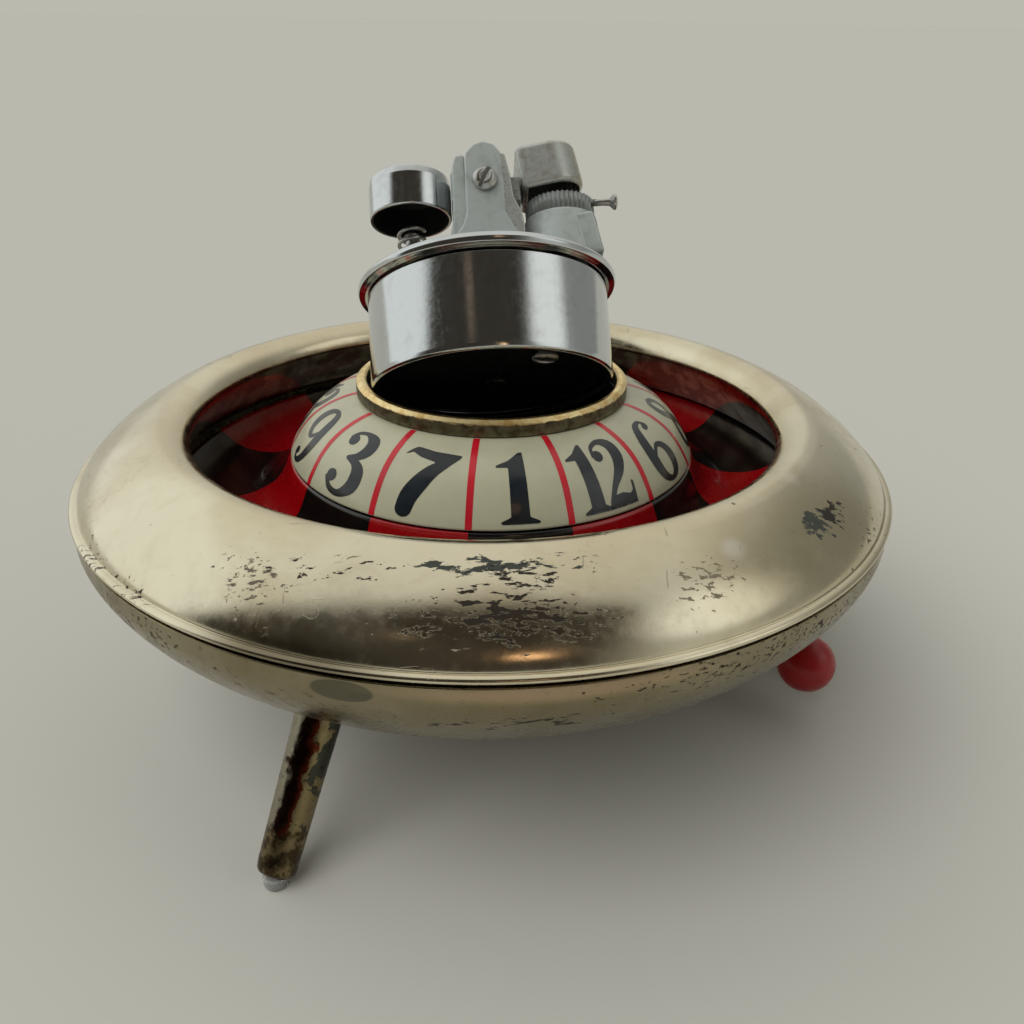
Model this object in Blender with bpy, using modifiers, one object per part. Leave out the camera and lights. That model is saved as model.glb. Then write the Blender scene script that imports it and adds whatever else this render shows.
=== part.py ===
"""Roulette-wheel table lighter.

A saucer-shaped metal body on three splayed legs holds a spinning number wheel round a central socket.
The lighter insert is lifted out of its socket and leans back in its mouth.
All sizes below are in millimetres. Z is up, the floor is Z = 0 and the wheel turns about the Z axis.
"""
import math

import bmesh
import bpy
from mathutils import Matrix, Vector

MM = 0.001
GAP = 0.3                      # clearance kept between touching pieces
MERGE = 0.00001                # merge distance in metres
TURN_STEPS = 40                # facets of a large turned piece
SMALL_STEPS = 16               # facets of a small turned piece

# Saucer body
SEAM_R = 62.5                  # outer radius of the rolled bead at the seam
SEAM_Z = 41.0
BAND_R = 62.2                  # lower shell, just below the bead
BAND_FOOT_Z = 38.3
FLOOR_R = 32.7                 # flat underside
FLOOR_Z = 17.3
CROWN_R = 46.0                 # end of the crown's rounded section, just past its highest ring
CROWN_Z = 52.0
SIDE_R = 61.4                  # upper shell where it meets the bead
SIDE_Z = 41.9
LIP_R = 45.0                   # free radius of the round opening
SHEET = 0.9                    # shell thickness
BOWL_POWER = 4.0 / 3.0         # exponent of the bowl's rounded section
CROWN_POWER = 1.43             # exponent of the crown's rounded section
CROWN_END = 66.0               # angle in degrees where the crown gives way to the lip

# Number wheel and socket
DOME_FOOT_R = 31.6
DOME_FOOT_Z = 43.2
DOME_TOP_Z = 52.4
TRAY_R = 51.0                  # outer edge of the pocket ring
AXIS_X = 1.1                   # the wheel sits this far off the saucer's middle
AXIS = (AXIS_X, 0.0, 0.0)
COLLAR_R = 21.0
COLLAR_TOP_Z = 55.0
COLLAR_FOOT_Z = 52.6
WELL_R = 19.4                  # free radius of the socket
WELL_WALL = 0.7
WELL_FLOOR_Z = 37.4
WEB_Z = 33.7
WEB_THICK = 1.2
SPINDLE_R = 3.0
SPINDLE_TAIL_R = 2.0           # its tail through the bowl
BEARING_R = SPINDLE_R + GAP
RATCHET_TEETH = 24
RATCHET_R = 11.2
RATCHET_Z = 28.6

# Spin lever
LEVER_ANGLE = math.radians(-14.3)
LEVER_Z = 23.4
LEVER_THICK = 1.4
LEVER_LENGTH = 34.0
LEVER_SWING = math.radians(50.0)
ROD_R = 1.3
BALL_R = 4.75
BALL_REACH = 53.7
BALL_Z = 9.5

# Legs
LEG_ANGLES = [math.radians(a) for a in (-119.0, 1.0, 121.0)]
LEG_SPLAY = math.radians(32.2)
LEG_FOOT_REACH = 58.7          # radius where a leg's axis meets the floor
LEG_FOOT_R = 2.7
LEG_TOP_R = 3.35
LEG_END = 2.2                  # distance along the axis from the floor to the end of the leg
LEG_LENGTH = 32.0              # drawn length, before the bowl trims it
LEG_BORE_R = 1.5
GLIDE_R = 1.7

# Lighter insert, in its own frame: origin at the middle of its bottom, Z along its axis
INSERT_AT = (1.2, -5.4, 54.5)
INSERT_TILT = math.radians(35.9)    # leans back
INSERT_LEAN = math.radians(-3.2)    # leans to the left
CUP_R = 18.2
CUP_TOP = 13.9
FLANGE_R = 19.7
PLATE_Z = 17.3                 # top of the insert's plate
PIVOT_X = 0.45
PIVOT_Z = 30.2
PIVOT_R = 1.15
PIVOT_HOLE_R = PIVOT_R + GAP
CHIMNEY_X = 12.0
CHIMNEY_R = 5.2
THUMB_X = -11.15
THUMB_R = 6.05
THUMB_TOP = 33.5
THUMB_FOOT = 27.2
FLINT_X = PIVOT_X
FLINT_WHEEL_R = 3.2
FILLER_AT = (7.3, -11.2)
SNUFFER_RISE = math.radians(-10.0)
HOOD_R = 4.85                  # rounded end of the snuffer's hood
HOOD_REACH = 4.9               # from its back to the middle of that end
HOOD_HEIGHT = 6.9
HOOD_WALL = 0.7


# ---------------------------------------------------------------- helpers

def clear_scene():
    for old in list(bpy.data.objects):
        bpy.data.objects.remove(old, do_unlink=True)


def new_collection(name):
    group = bpy.data.collections.new(name)
    bpy.context.scene.collection.children.link(group)
    return group


def finish(name, colour, metallic, roughness, alpha=1.0):
    """A plain Principled material."""
    material = bpy.data.materials.new(name)
    material.use_nodes = True
    shader = material.node_tree.nodes["Principled BSDF"]
    shader.inputs["Base Color"].default_value = (*colour, 1.0)
    shader.inputs["Metallic"].default_value = metallic
    shader.inputs["Roughness"].default_value = roughness
    shader.inputs["Alpha"].default_value = alpha
    material.diffuse_color = (*colour, alpha)
    return material


def scaled(points):
    return [tuple(c * MM for c in p) for p in points]


def link(obj, look, parent=None, at=(0.0, 0.0, 0.0), turn=(0.0, 0.0, 0.0)):
    """Put an object in its collection, with its material, parent and place."""
    if look is None:
        cutters.objects.link(obj)
        obj.hide_render = True
        obj.display_type = "WIRE"
    else:
        pieces.objects.link(obj)
        obj.data.materials.append(look)
    obj.parent = parent
    obj.location = Vector(at) * MM
    obj.rotation_euler = turn
    return obj


def turned(name, profile, look, closed=False, steps=TURN_STEPS, **place):
    """Revolve (radius, height) points about Z. The profile runs down its outer side."""
    mesh = bpy.data.meshes.new(name)
    edges = [(i, i + 1) for i in range(len(profile) - 1)]
    if closed:
        edges.append((len(profile) - 1, 0))
    mesh.from_pydata(scaled((r, 0.0, z) for r, z in profile), edges, [])
    obj = link(bpy.data.objects.new(name, mesh), look, **place)
    screw = obj.modifiers.new("turn", "SCREW")
    screw.axis = "Z"
    screw.steps = steps
    screw.render_steps = steps
    screw.use_merge_vertices = True
    screw.merge_threshold = MERGE
    screw.use_smooth_shade = True
    return obj


def rod(name, radius, low, high, look, steps=SMALL_STEPS, **place):
    """A plain cylinder on local Z from low to high."""
    return turned(name, [(0, high), (radius, high), (radius, low), (0, low)], look, steps=steps, **place)


def sleeve(name, inner, outer, low, high, look, steps=SMALL_STEPS, **place):
    profile = [(inner, high), (outer, high), (outer, low), (inner, low)]
    return turned(name, profile, look, closed=True, steps=steps, **place)


def curve_to_mesh(obj):
    """The curve's closed mesh, with its caps welded on."""
    bpy.context.view_layer.update()
    graph = bpy.context.evaluated_depsgraph_get()
    mesh = bpy.data.meshes.new_from_object(obj.evaluated_get(graph))
    shape = bmesh.new()
    shape.from_mesh(mesh)
    bmesh.ops.remove_doubles(shape, verts=shape.verts, dist=MERGE)
    bmesh.ops.recalc_face_normals(shape, faces=shape.faces)
    shape.to_mesh(mesh)
    shape.free()
    curve = obj.data
    bpy.data.objects.remove(obj, do_unlink=True)
    bpy.data.curves.remove(curve)
    return mesh


def draw_curve(name, lines, cyclic, flat):
    curve = bpy.data.curves.new(name, "CURVE")
    curve.dimensions = "2D" if flat else "3D"
    for points in lines:
        spline = curve.splines.new("POLY")
        spline.points.add(len(points) - 1)
        for point, place in zip(spline.points, scaled(points)):
            point.co = (*place, 1.0)
        spline.use_cyclic_u = cyclic
    obj = bpy.data.objects.new(name, curve)
    cutters.objects.link(obj)
    return obj


def plate(name, outlines, low, high, look, **place):
    """Extrude flat outlines, the first one outside and the rest holes, from low to high."""
    guide = draw_curve(name + "_outline", [[(x, y, 0.0) for x, y in line] for line in outlines], True, True)
    guide.data.fill_mode = "BOTH"
    guide.data.extrude = (high - low) / 2 * MM
    mesh = curve_to_mesh(guide)
    mesh.name = name
    mesh.transform(Matrix.Translation((0.0, 0.0, (low + high) / 2 * MM)))
    return link(bpy.data.objects.new(name, mesh), look, **place)


def tube(name, points, radius, look, sides=2, **place):
    """A round wire along the points."""
    guide = draw_curve(name + "_path", [points], False, False)
    guide.data.bevel_depth = radius * MM
    guide.data.bevel_resolution = sides
    guide.data.use_fill_caps = True
    mesh = curve_to_mesh(guide)
    mesh.name = name
    mesh.shade_smooth()
    return link(bpy.data.objects.new(name, mesh), look, **place)


def combine(obj, other, operation="DIFFERENCE"):
    step = obj.modifiers.new(operation.lower(), "BOOLEAN")
    step.operation = operation
    step.solver = "EXACT"
    step.object = other
    return obj


def circle(radius, count, centre=(0.0, 0.0), start=0.0):
    angles = [start + 2 * math.pi * i / count for i in range(count)]
    return [(centre[0] + radius * math.cos(a), centre[1] + radius * math.sin(a)) for a in angles]


def arc(radius, first, last, count, centre=(0.0, 0.0)):
    """Points from angle first to angle last, in degrees."""
    angles = [math.radians(first + (last - first) * i / count) for i in range(count + 1)]
    return [(centre[0] + radius * math.cos(a), centre[1] + radius * math.sin(a)) for a in angles]


def helix(radius, low, high, turns, centre=(0.0, 0.0), per_turn=8):
    count = int(turns * per_turn)
    points = []
    for i in range(count + 1):
        angle = 2 * math.pi * i / per_turn
        height = low + (high - low) * i / count
        points.append((centre[0] + radius * math.cos(angle), centre[1] + radius * math.sin(angle), height))
    return points


def rounded_quarter(start, end, power, count, first=0.0, last=90.0):
    """Superellipse quarter from start (radius, height) to end; the radius changes first at start."""
    points = []
    for i in range(count + 1):
        a = math.radians(first + (last - first) * i / count)
        across = max(math.cos(a), 0.0) ** power
        along = math.sin(a) ** power
        points.append((end[0] + (start[0] - end[0]) * across, start[1] + (end[1] - start[1]) * along))
    return points


# ---------------------------------------------------------------- saucer body

def crown_curve(inset, count):
    """Crown section from the seam up to where the lip begins, moved inwards by inset."""
    start = (SIDE_R - inset, SIDE_Z - inset)
    return rounded_quarter(start, (CROWN_R, CROWN_Z - inset), CROWN_POWER, count, 0.0, CROWN_END)


def upper_shell():
    """Spun ring: crown outside, rolled bead at the seam, lip and undercut wall round the opening."""
    outside = crown_curve(0.0, 8)[::-1]
    bead = [(62.2, 41.85), (SEAM_R, 41.45), (62.2, 41.05), (60.6, SEAM_Z - 0.05)]
    inside = crown_curve(SHEET, 6)[1:]
    lip_back = [(49.0, 50.05), (47.9, 49.9), (46.7, 49.2), (46.0, 47.9), (46.4, 46.2), (47.9, 43.6)]
    foot = [(50.9, 39.7), (50.1, 39.5)]
    lip_front = [(48.4, 41.3), (46.7, 43.8), (45.4, 46.1), (LIP_R, 47.8), (45.6, 49.25), (46.9, 50.4),
                 (48.1, 50.9)]
    profile = outside + bead + inside + lip_back + foot + lip_front
    return turned("upper_shell", profile, looks["nickel_shell"], closed=True, steps=44)


def bowl_curve(inset, count):
    """Bowl section from the band down to the flat floor, moved inwards by inset."""
    start = (BAND_R - inset, BAND_FOOT_Z + 0.2 * inset)
    return rounded_quarter(start, (FLOOR_R, FLOOR_Z + inset), BOWL_POWER, count)


def slot_outline(inner, outer, first, last, count=12):
    return arc(inner, first, last, count) + arc(outer, last, first, count)


def lower_shell():
    """Bowl with a flat floor, a slot for the spin lever and holes for the fasteners."""
    rim = SEAM_Z - 0.4
    outside = [(BAND_R, rim)] + bowl_curve(0.0, 8)
    inside = [(0, FLOOR_Z + SHEET)] + bowl_curve(SHEET, 6)[::-1] + [(BAND_R - SHEET, rim)]
    profile = inside + outside + [(0, FLOOR_Z)]
    shell = turned("lower_shell", profile, looks["nickel_shell"], steps=44)
    combine(shell, rod("spindle_hole_cutter", SPINDLE_TAIL_R + GAP, 14.0, 20.0, None, at=AXIS))
    margin = 4.0
    first = math.degrees(LEVER_ANGLE - LEVER_SWING) - margin
    last = math.degrees(LEVER_ANGLE) + margin
    slot = plate("lever_slot_cutter", [slot_outline(35.5, 45.4, first, last)], 14.0, 27.0, None, at=AXIS)
    combine(shell, slot)
    for number, frame in enumerate(leg_frames, 1):
        hole = rod(f"leg_hole_cutter_{number}", LEG_BORE_R, 14.0, 40.0, None, parent=frame)
        combine(shell, hole)
    return shell


# ---------------------------------------------------------------- legs

def leg_frame(number, angle):
    """Empty on the leg's axis where it meets the floor, with Z up along the leg."""
    frame = bpy.data.objects.new(f"leg_frame_{number}", None)
    cutters.objects.link(frame)
    frame.hide_render = True
    foot = Vector((math.cos(angle), math.sin(angle), 0.0)) * LEG_FOOT_REACH * MM
    frame.matrix_world = (Matrix.Translation(foot) @ Matrix.Rotation(angle, 4, "Z")
                          @ Matrix.Rotation(-LEG_SPLAY, 4, "Y"))
    return frame


def leg(number, frame):
    """Tapered peg, bored for its screw and trimmed to the bowl."""
    bore_top, bore_foot = LEG_LENGTH, 14.0
    profile = [(0, bore_foot), (LEG_BORE_R, bore_foot), (LEG_BORE_R, bore_top), (LEG_TOP_R, bore_top),
               (LEG_FOOT_R, LEG_END + 0.9), (LEG_FOOT_R - 0.25, LEG_END + 0.3), (LEG_FOOT_R - 0.8, LEG_END),
               (0, LEG_END)]
    peg = turned(f"leg_{number}", profile, looks["leg_metal"], steps=24, parent=frame)
    return combine(peg, bowl_envelope)


def leg_glide(number, angle):
    """Clear button between the leg's end and the floor."""
    reach = LEG_FOOT_REACH - LEG_END * math.sin(LEG_SPLAY)
    at = (reach * math.cos(angle), reach * math.sin(angle), 0.0)
    profile = [(0, 4.0), (GLIDE_R, 4.0), (GLIDE_R, 0.3), (GLIDE_R - 0.3, 0.0), (0, 0.0)]
    button = turned(f"leg_glide_{number}", profile, looks["clear_plastic"], steps=16, at=at)
    trim = rod(f"glide_trim_{number}", 9.0, LEG_END - GAP, 20.0, None, parent=leg_frames[number - 1])
    return combine(button, trim)


def leg_screw(number, frame):
    """Screw from inside the bowl into the leg."""
    head_foot = 27.4
    profile = [(0, head_foot + 1.3), (2.2, head_foot + 1.3), (2.8, head_foot + 0.7), (2.8, head_foot),
               (LEG_BORE_R - GAP, head_foot), (LEG_BORE_R - GAP, 16.0), (0, 16.0)]
    return turned(f"leg_screw_{number}", profile, looks["steel"], steps=16, parent=frame)


# ---------------------------------------------------------------- socket and wheel

def socket():
    well = [(0, WELL_FLOOR_Z), (WELL_R - 0.6, WELL_FLOOR_Z), (WELL_R, WELL_FLOOR_Z + 0.6),
            (WELL_R, COLLAR_FOOT_Z - GAP), (WELL_R + WELL_WALL, COLLAR_FOOT_Z - GAP),
            (WELL_R + WELL_WALL, WELL_FLOOR_Z - 0.4), (WELL_R - 0.2, WELL_FLOOR_Z - 1.0),
            (0, WELL_FLOOR_Z - 1.0)]
    turned("socket_well", well, looks["steel_dark"], steps=40, at=AXIS)
    collar = [(WELL_R, COLLAR_TOP_Z - 0.2), (WELL_R + 0.2, COLLAR_TOP_Z), (COLLAR_R - 0.6, COLLAR_TOP_Z),
              (COLLAR_R, COLLAR_TOP_Z - 0.5), (COLLAR_R, COLLAR_FOOT_Z), (WELL_R, COLLAR_FOOT_Z)]
    turned("socket_collar", collar, looks["brass"], closed=True, steps=40, at=AXIS)
    spindle_top = WELL_FLOOR_Z - 1.0 - GAP
    flange_foot = FLOOR_Z + SHEET + GAP
    spindle = [(0, spindle_top), (7.0, spindle_top), (7.0, spindle_top - 0.6), (SPINDLE_R, spindle_top - 0.6),
               (SPINDLE_R, flange_foot + 1.2), (9.0, flange_foot + 1.2), (9.0, flange_foot),
               (SPINDLE_TAIL_R, flange_foot), (SPINDLE_TAIL_R, 14.4), (0, 14.4)]
    turned("spindle", spindle, looks["steel"], steps=24, at=AXIS)
    nut = [circle(4.0, 6), circle(SPINDLE_TAIL_R + GAP, 16)]
    plate("spindle_nut", nut, 15.0, FLOOR_Z - GAP, looks["steel"], at=AXIS)


def number_dome():
    """Steep cream dome that carries the numbers."""
    top = [(20.4, DOME_TOP_Z), (22.6, 52.0), (25.2, 51.0), (27.6, 49.4), (29.5, 47.4), (30.9, 45.2),
           (DOME_FOOT_R, DOME_FOOT_Z), (DOME_FOOT_R, DOME_FOOT_Z - 0.6)]
    under = [(30.9, DOME_FOOT_Z - 0.6), (30.2, 44.9), (28.9, 46.9), (27.1, 48.7), (24.8, 50.2), (22.4, 51.2),
             (20.4, 51.6)]
    turned("number_dome", top + under, looks["cream_enamel"], closed=True, at=AXIS)


def pocket_tray():
    """Concave ring of red and black pockets round the dome."""
    top = [(31.9, 42.2), (33.4, 39.6), (36.4, 37.3), (40.5, 36.0), (45.0, 36.0), (48.4, 37.4), (50.4, 38.9)]
    under = [(TRAY_R, 38.4), (48.8, 36.6), (45.1, 35.2), (40.4, 35.2), (36.0, 36.5), (32.8, 39.0),
             (31.1, 41.9)]
    turned("pocket_tray", top + under, looks["pocket_red"], closed=True, at=AXIS)


def wheel_works():
    """Web, bearing bush and ratchet under the wheel."""
    sleeve("wheel_web", 5.5, 44.0, WEB_Z, WEB_Z + WEB_THICK, looks["steel"], steps=40, at=AXIS)
    bush = [(BEARING_R, 35.2), (5.2, 35.2), (5.2, WEB_Z - GAP), (9.0, WEB_Z - GAP), (9.0, WEB_Z - 1.5),
            (5.2, WEB_Z - 1.5), (5.2, 27.0), (BEARING_R, 27.0)]
    turned("wheel_bush", bush, looks["brass_plain"], closed=True, steps=24, at=AXIS)
    teeth = []
    for i in range(RATCHET_TEETH):
        step = 2 * math.pi / RATCHET_TEETH
        teeth.append((RATCHET_R * math.cos(i * step), RATCHET_R * math.sin(i * step)))
        root = (i + 0.12) * step
        teeth.append(((RATCHET_R - 1.2) * math.cos(root), (RATCHET_R - 1.2) * math.sin(root)))
    plate("ratchet_wheel", [teeth, circle(5.5, 24)], RATCHET_Z, RATCHET_Z + 1.4, looks["steel"], at=AXIS)


# ---------------------------------------------------------------- spin lever

def spin_lever():
    """Lever that swings under the wheel, with a rod out through the slot to the ball knob."""
    half = 2.4
    edge = math.degrees(math.asin(half / 6.5))
    outline = arc(6.5, edge, 360.0 - edge, 24) + [(LEVER_LENGTH - 1.5, -half), (LEVER_LENGTH, -half + 1.5),
                                                  (LEVER_LENGTH, half - 1.5), (LEVER_LENGTH - 1.5, half)]
    turn = (0.0, 0.0, LEVER_ANGLE)
    lever_place = Matrix.Translation(Vector(AXIS) * MM) @ Matrix.Rotation(LEVER_ANGLE, 4, "Z")
    plate("lever_plate", [outline, circle(BEARING_R, 24)], LEVER_Z, LEVER_Z + LEVER_THICK, looks["steel"],
          at=AXIS, turn=turn)
    rod_z = LEVER_Z - GAP - ROD_R
    knee = Vector((35.0, 0.0, rod_z))
    ball = Vector((BALL_REACH, 0.0, BALL_Z))
    way = (ball - knee).normalized()
    bend = [knee + Vector((-3.0, 0.0, 0.0)), knee + Vector((-1.4, 0.0, -0.1)), knee + way * 1.2,
            knee + way * 3.0]
    path = [(22.0, 0.0, rod_z)] + [tuple(p) for p in bend] + [tuple(ball - way * 1.0)]
    tube("lever_rod", path, ROD_R, looks["steel"], at=AXIS, turn=turn)
    pawl = [(13.6, 25.1), (17.5, 25.1), (17.5, 26.1), (14.8, 26.1), (14.8, 30.0), (11.7, 30.0), (11.7, 28.9),
            (13.6, 28.9)]
    side = plate("drive_pawl", [pawl], -1.2, 1.2, looks["brass_plain"])
    side.matrix_world = lever_place @ Matrix.Rotation(math.pi / 2, 4, "X")
    knob_frame = bpy.data.objects.new("knob_frame", None)
    cutters.objects.link(knob_frame)
    knob_frame.hide_render = True
    knob_frame.matrix_world = (lever_place @ Matrix.Translation(ball * MM)
                               @ Vector((0, 0, 1)).rotation_difference(-way).to_matrix().to_4x4())
    bore = ROD_R + GAP
    start = math.degrees(math.acos(bore / BALL_R))
    ball_profile = [(0, -1.6), (bore, -1.6)] + arc(BALL_R, start, -90.0, 14)[:-1] + [(0, -BALL_R)]
    turned("ball_knob", ball_profile, looks["red_plastic"], steps=28, parent=knob_frame)
    ferrule_foot = BALL_R * math.sin(math.radians(start)) + 0.4
    ferrule = [(bore, ferrule_foot + 3.2), (2.0, ferrule_foot + 3.2), (2.6, ferrule_foot),
               (bore, ferrule_foot)]
    turned("knob_ferrule", ferrule, looks["steel_dark"], closed=True, steps=20, parent=knob_frame)
    tube("lever_spring", helix(5.0, 20.6, 22.4, 2), 0.35, looks["steel"], sides=1, at=AXIS)
    sleeve("spacer_sleeve", BEARING_R, 5.4, 25.1, 26.7, looks["brass_plain"], at=AXIS)


# ---------------------------------------------------------------- insert: tank

def pierce(obj, centre, radius, low, high, name):
    hole = rod(name, radius, low, high, None, parent=insert_frame, at=(centre[0], centre[1], 0.0))
    return combine(obj, hole)


def tank():
    """Chrome cup with a turned-in bottom edge, its dark base, the packing, wick and filler."""
    cup = [(CUP_R - 0.7, CUP_TOP), (CUP_R, CUP_TOP), (CUP_R, 0.7), (CUP_R - 0.2, 0.2), (CUP_R - 0.6, 0.0),
           (CUP_R - 1.1, 0.15), (CUP_R - 1.3, 0.8), (CUP_R - 0.7, 0.9)]
    turned("tank_cup", cup, looks["chrome"], closed=True, steps=40, parent=insert_frame)
    base = rod("tank_base", 17.3, 1.2, 2.0, looks["black_steel"], steps=40, parent=insert_frame)
    pierce(base, FILLER_AT, 1.5, 0.0, 3.0, "filler_hole_cutter")
    pierce(base, (FLINT_X, 0.0), 1.5, 0.0, 3.0, "flint_hole_cutter")
    packing = rod("tank_packing", 17.2, 5.0, 13.4, looks["cotton"], steps=32, parent=insert_frame)
    pierce(packing, (FLINT_X, 0.0), 2.7, 2.0, 16.0, "packing_flint_cutter")
    pierce(packing, (CHIMNEY_X, 0.0), 2.8, 2.0, 16.0, "packing_wick_cutter")
    for name, centre in (("filler_screw", FILLER_AT), ("flint_screw", (FLINT_X, 0.0))):
        profile = [(0, 4.6), (1.2, 4.6), (1.2, 0.9), (1.9, 0.9), (1.9, 0.35), (1.6, 0.1), (0, 0.1)]
        screw = turned(name, profile, looks["steel"], steps=16, parent=insert_frame, at=(*centre, 0.0))
        slot = plate(name + "_slot", [[(-3, -0.3), (3, -0.3), (3, 0.3), (-3, 0.3)]], -1.0, 0.5, None,
                     parent=insert_frame, at=(*centre, 0.0))
        combine(screw, slot)
    sleeve("wick_tube", 1.9, 2.5, 3.0, 27.6, looks["steel"], parent=insert_frame, at=(CHIMNEY_X, 0, 0))
    rod("wick", 1.6, 2.8, 28.3, looks["cotton"], steps=12, parent=insert_frame, at=(CHIMNEY_X, 0, 0))


def top_flange():
    """Plate over the cup with its two rolled beads."""
    profile = [(0, PLATE_Z), (17.4, PLATE_Z - 0.3), (18.6, 16.8), (18.9, 16.2), (19.4, 15.95),
               (FLANGE_R, 15.3), (19.6, 14.6), (19.2, CUP_TOP + GAP), (17.3, CUP_TOP + GAP), (17.3, 16.0),
               (0, 16.0)]
    flange = turned("top_flange", profile, looks["chrome"], steps=40, parent=insert_frame)
    pierce(flange, (FLINT_X, 0.0), 2.7, 12.0, 20.0, "flange_flint_cutter")
    pierce(flange, (CHIMNEY_X, 0.0), 2.8, 12.0, 20.0, "flange_wick_cutter")


# ---------------------------------------------------------------- insert: works

def upright(name, outlines, front, back, look):
    """A plate that stands in the insert's XZ plane, between the depths front and back."""
    return plate(name, outlines, -back, -front, look, parent=insert_frame, turn=(math.pi / 2, 0.0, 0.0))


def mechanism_frame():
    """Die-cast frame: foot, two ears for the pivot and the burner boss with its ramp."""
    foot_z = PLATE_Z + GAP
    foot = [(-4.6, -6.4)] + arc(6.4, -90.0, 90.0, 12, (CHIMNEY_X, 0.0)) + [(-4.6, 6.4)]
    frame = plate("mechanism_frame", [foot], foot_z, foot_z + 2.2, looks["die_cast"], parent=insert_frame)
    ear = ([(-4.5, 19.0), (5.3, 19.0), (5.0, 21.5), (3.7, 24.5)]
           + arc(2.9, 0.0, 180.0, 10, (PIVOT_X, 32.4)) + [(-2.8, 24.5), (-4.3, 21.5)])
    pin_hole = circle(PIVOT_HOLE_R, 16, (PIVOT_X, PIVOT_Z))
    for side, front, back in (("front", -6.6, -5.2), ("rear", 5.2, 6.6)):
        cheek = upright(f"{side}_ear_guide", [ear, pin_hole], front, back, None)
        combine(frame, cheek, "UNION")
    ramp = [(2.8, 19.0), (17.2, 19.0), (16.9, 25.2), (12.5, 25.0), (8.0, 23.4), (4.5, 21.2)]
    combine(frame, upright("ramp_guide", [ramp], -5.0, 5.0, None), "UNION")
    boss = rod("boss_guide", 5.6, 18.5, 25.5, None, parent=insert_frame, at=(CHIMNEY_X, 0, 0), steps=28)
    combine(frame, boss, "UNION")
    pierce(frame, (CHIMNEY_X, 0.0), 2.8, 12.0, 30.0, "frame_wick_cutter")
    pierce(frame, (FLINT_X, 0.0), 2.7, 12.0, 30.0, "frame_flint_cutter")


def chimney():
    """Knurled collar round the flame and the small side pin."""
    knurl = []
    for i in range(36):
        knurl.append(circle(CHIMNEY_R, 36)[i])
        knurl.append(circle(CHIMNEY_R - 0.35, 36, start=math.pi / 36)[i])
    plate("chimney_collar", [knurl, circle(4.0, 24)], 25.8, 28.8, looks["die_cast"], parent=insert_frame,
          at=(CHIMNEY_X, 0, 0))
    pin = [(0, 3.7), (0.9, 3.7), (1.2, 3.3), (1.2, 2.9), (0.55, 2.4), (0.55, 0.0), (0, 0.0)]
    turned("side_pin", pin, looks["steel"], steps=12, parent=insert_frame, at=(16.95, -2.5, 27.8),
           turn=(0.0, math.pi / 2, 0.0))


def pivot():
    shank = [(0, 7.6), (PIVOT_R, 7.6), (PIVOT_R, -6.9), (2.0, -6.9), (2.0, -7.6), (1.4, -8.1), (0, -8.1)]
    screw = turned("pivot_screw", shank, looks["steel"], steps=20, parent=insert_frame,
                   at=(PIVOT_X, 0, PIVOT_Z), turn=(-math.pi / 2, 0.0, 0.0))
    slot = upright("pivot_slot_cutter", [[(-3, -0.3), (3, -0.3), (3, 0.3), (-3, 0.3)]], -9.0, -7.6, None)
    slot.location = Vector((PIVOT_X, 0, PIVOT_Z)) * MM
    slot.rotation_euler = (math.pi / 2, -math.radians(60.0), 0.0)
    combine(screw, slot)
    nut = upright("pivot_nut", [circle(2.4, 6), circle(PIVOT_HOLE_R, 16)], 6.9, 7.9, looks["steel"])
    nut.location = Vector((PIVOT_X, 0, PIVOT_Z)) * MM
    wheel = []
    for i in range(24):
        wheel.append(circle(FLINT_WHEEL_R, 24)[i])
        wheel.append(circle(FLINT_WHEEL_R - 0.3, 24, start=math.pi / 24)[i])
    flint_wheel = upright("flint_wheel", [wheel, circle(PIVOT_HOLE_R, 16)], -2.2, 2.2, looks["steel_dark"])
    flint_wheel.location = Vector((PIVOT_X, 0, PIVOT_Z)) * MM


def strap(name, web_first, web_last, far, inner, outer, low, high, look):
    """U-shaped strap on the pivot: a web between two cheeks that reach past the pivot to far."""
    if web_first < far:
        outline = [(web_first, -outer), (far, -outer), (far, -inner), (web_last, -inner),
                   (web_last, inner), (far, inner), (far, outer), (web_first, outer)]
    else:
        outline = [(far, -outer), (web_first, -outer), (web_first, outer), (far, outer),
                   (far, inner), (web_last, inner), (web_last, -inner), (far, -inner)]
    body = plate(name, [outline], low, high, look, parent=insert_frame)
    hole = rod(name + "_pivot_cutter", PIVOT_HOLE_R, -9.0, 9.0, None, parent=insert_frame,
               at=(PIVOT_X, 0, PIVOT_Z), turn=(math.pi / 2, 0.0, 0.0))
    return combine(body, hole)


def thumb_press():
    strap("thumb_lever", -4.7, -3.7, 2.9, 3.9, 4.8, 27.9, 32.6, looks["die_cast"])
    cap = [(0, THUMB_TOP), (THUMB_R - 0.9, THUMB_TOP), (THUMB_R - 0.25, THUMB_TOP - 0.3),
           (THUMB_R, THUMB_TOP - 0.9), (THUMB_R, THUMB_FOOT), (THUMB_R - 0.6, THUMB_FOOT),
           (THUMB_R - 0.6, THUMB_TOP - 1.1), (THUMB_R - 1.1, THUMB_TOP - 0.7), (0, THUMB_TOP - 0.7)]
    turned("thumb_cap", cap, looks["chrome"], steps=28, parent=insert_frame, at=(THUMB_X, 0, 0))
    post = [(0, 25.2), (1.0, 25.2), (1.3, 24.8), (1.3, 24.0), (0.9, 24.0), (0.9, PLATE_Z + GAP),
            (0, PLATE_Z + GAP)]
    turned("stop_post", post, looks["steel"], steps=12, parent=insert_frame, at=(THUMB_X, 0, 0))
    tube("thumb_spring", helix(2.0, 18.2, 25.6, 4, (THUMB_X, 0.0)), 0.3, looks["steel"], sides=1,
         parent=insert_frame)


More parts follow.
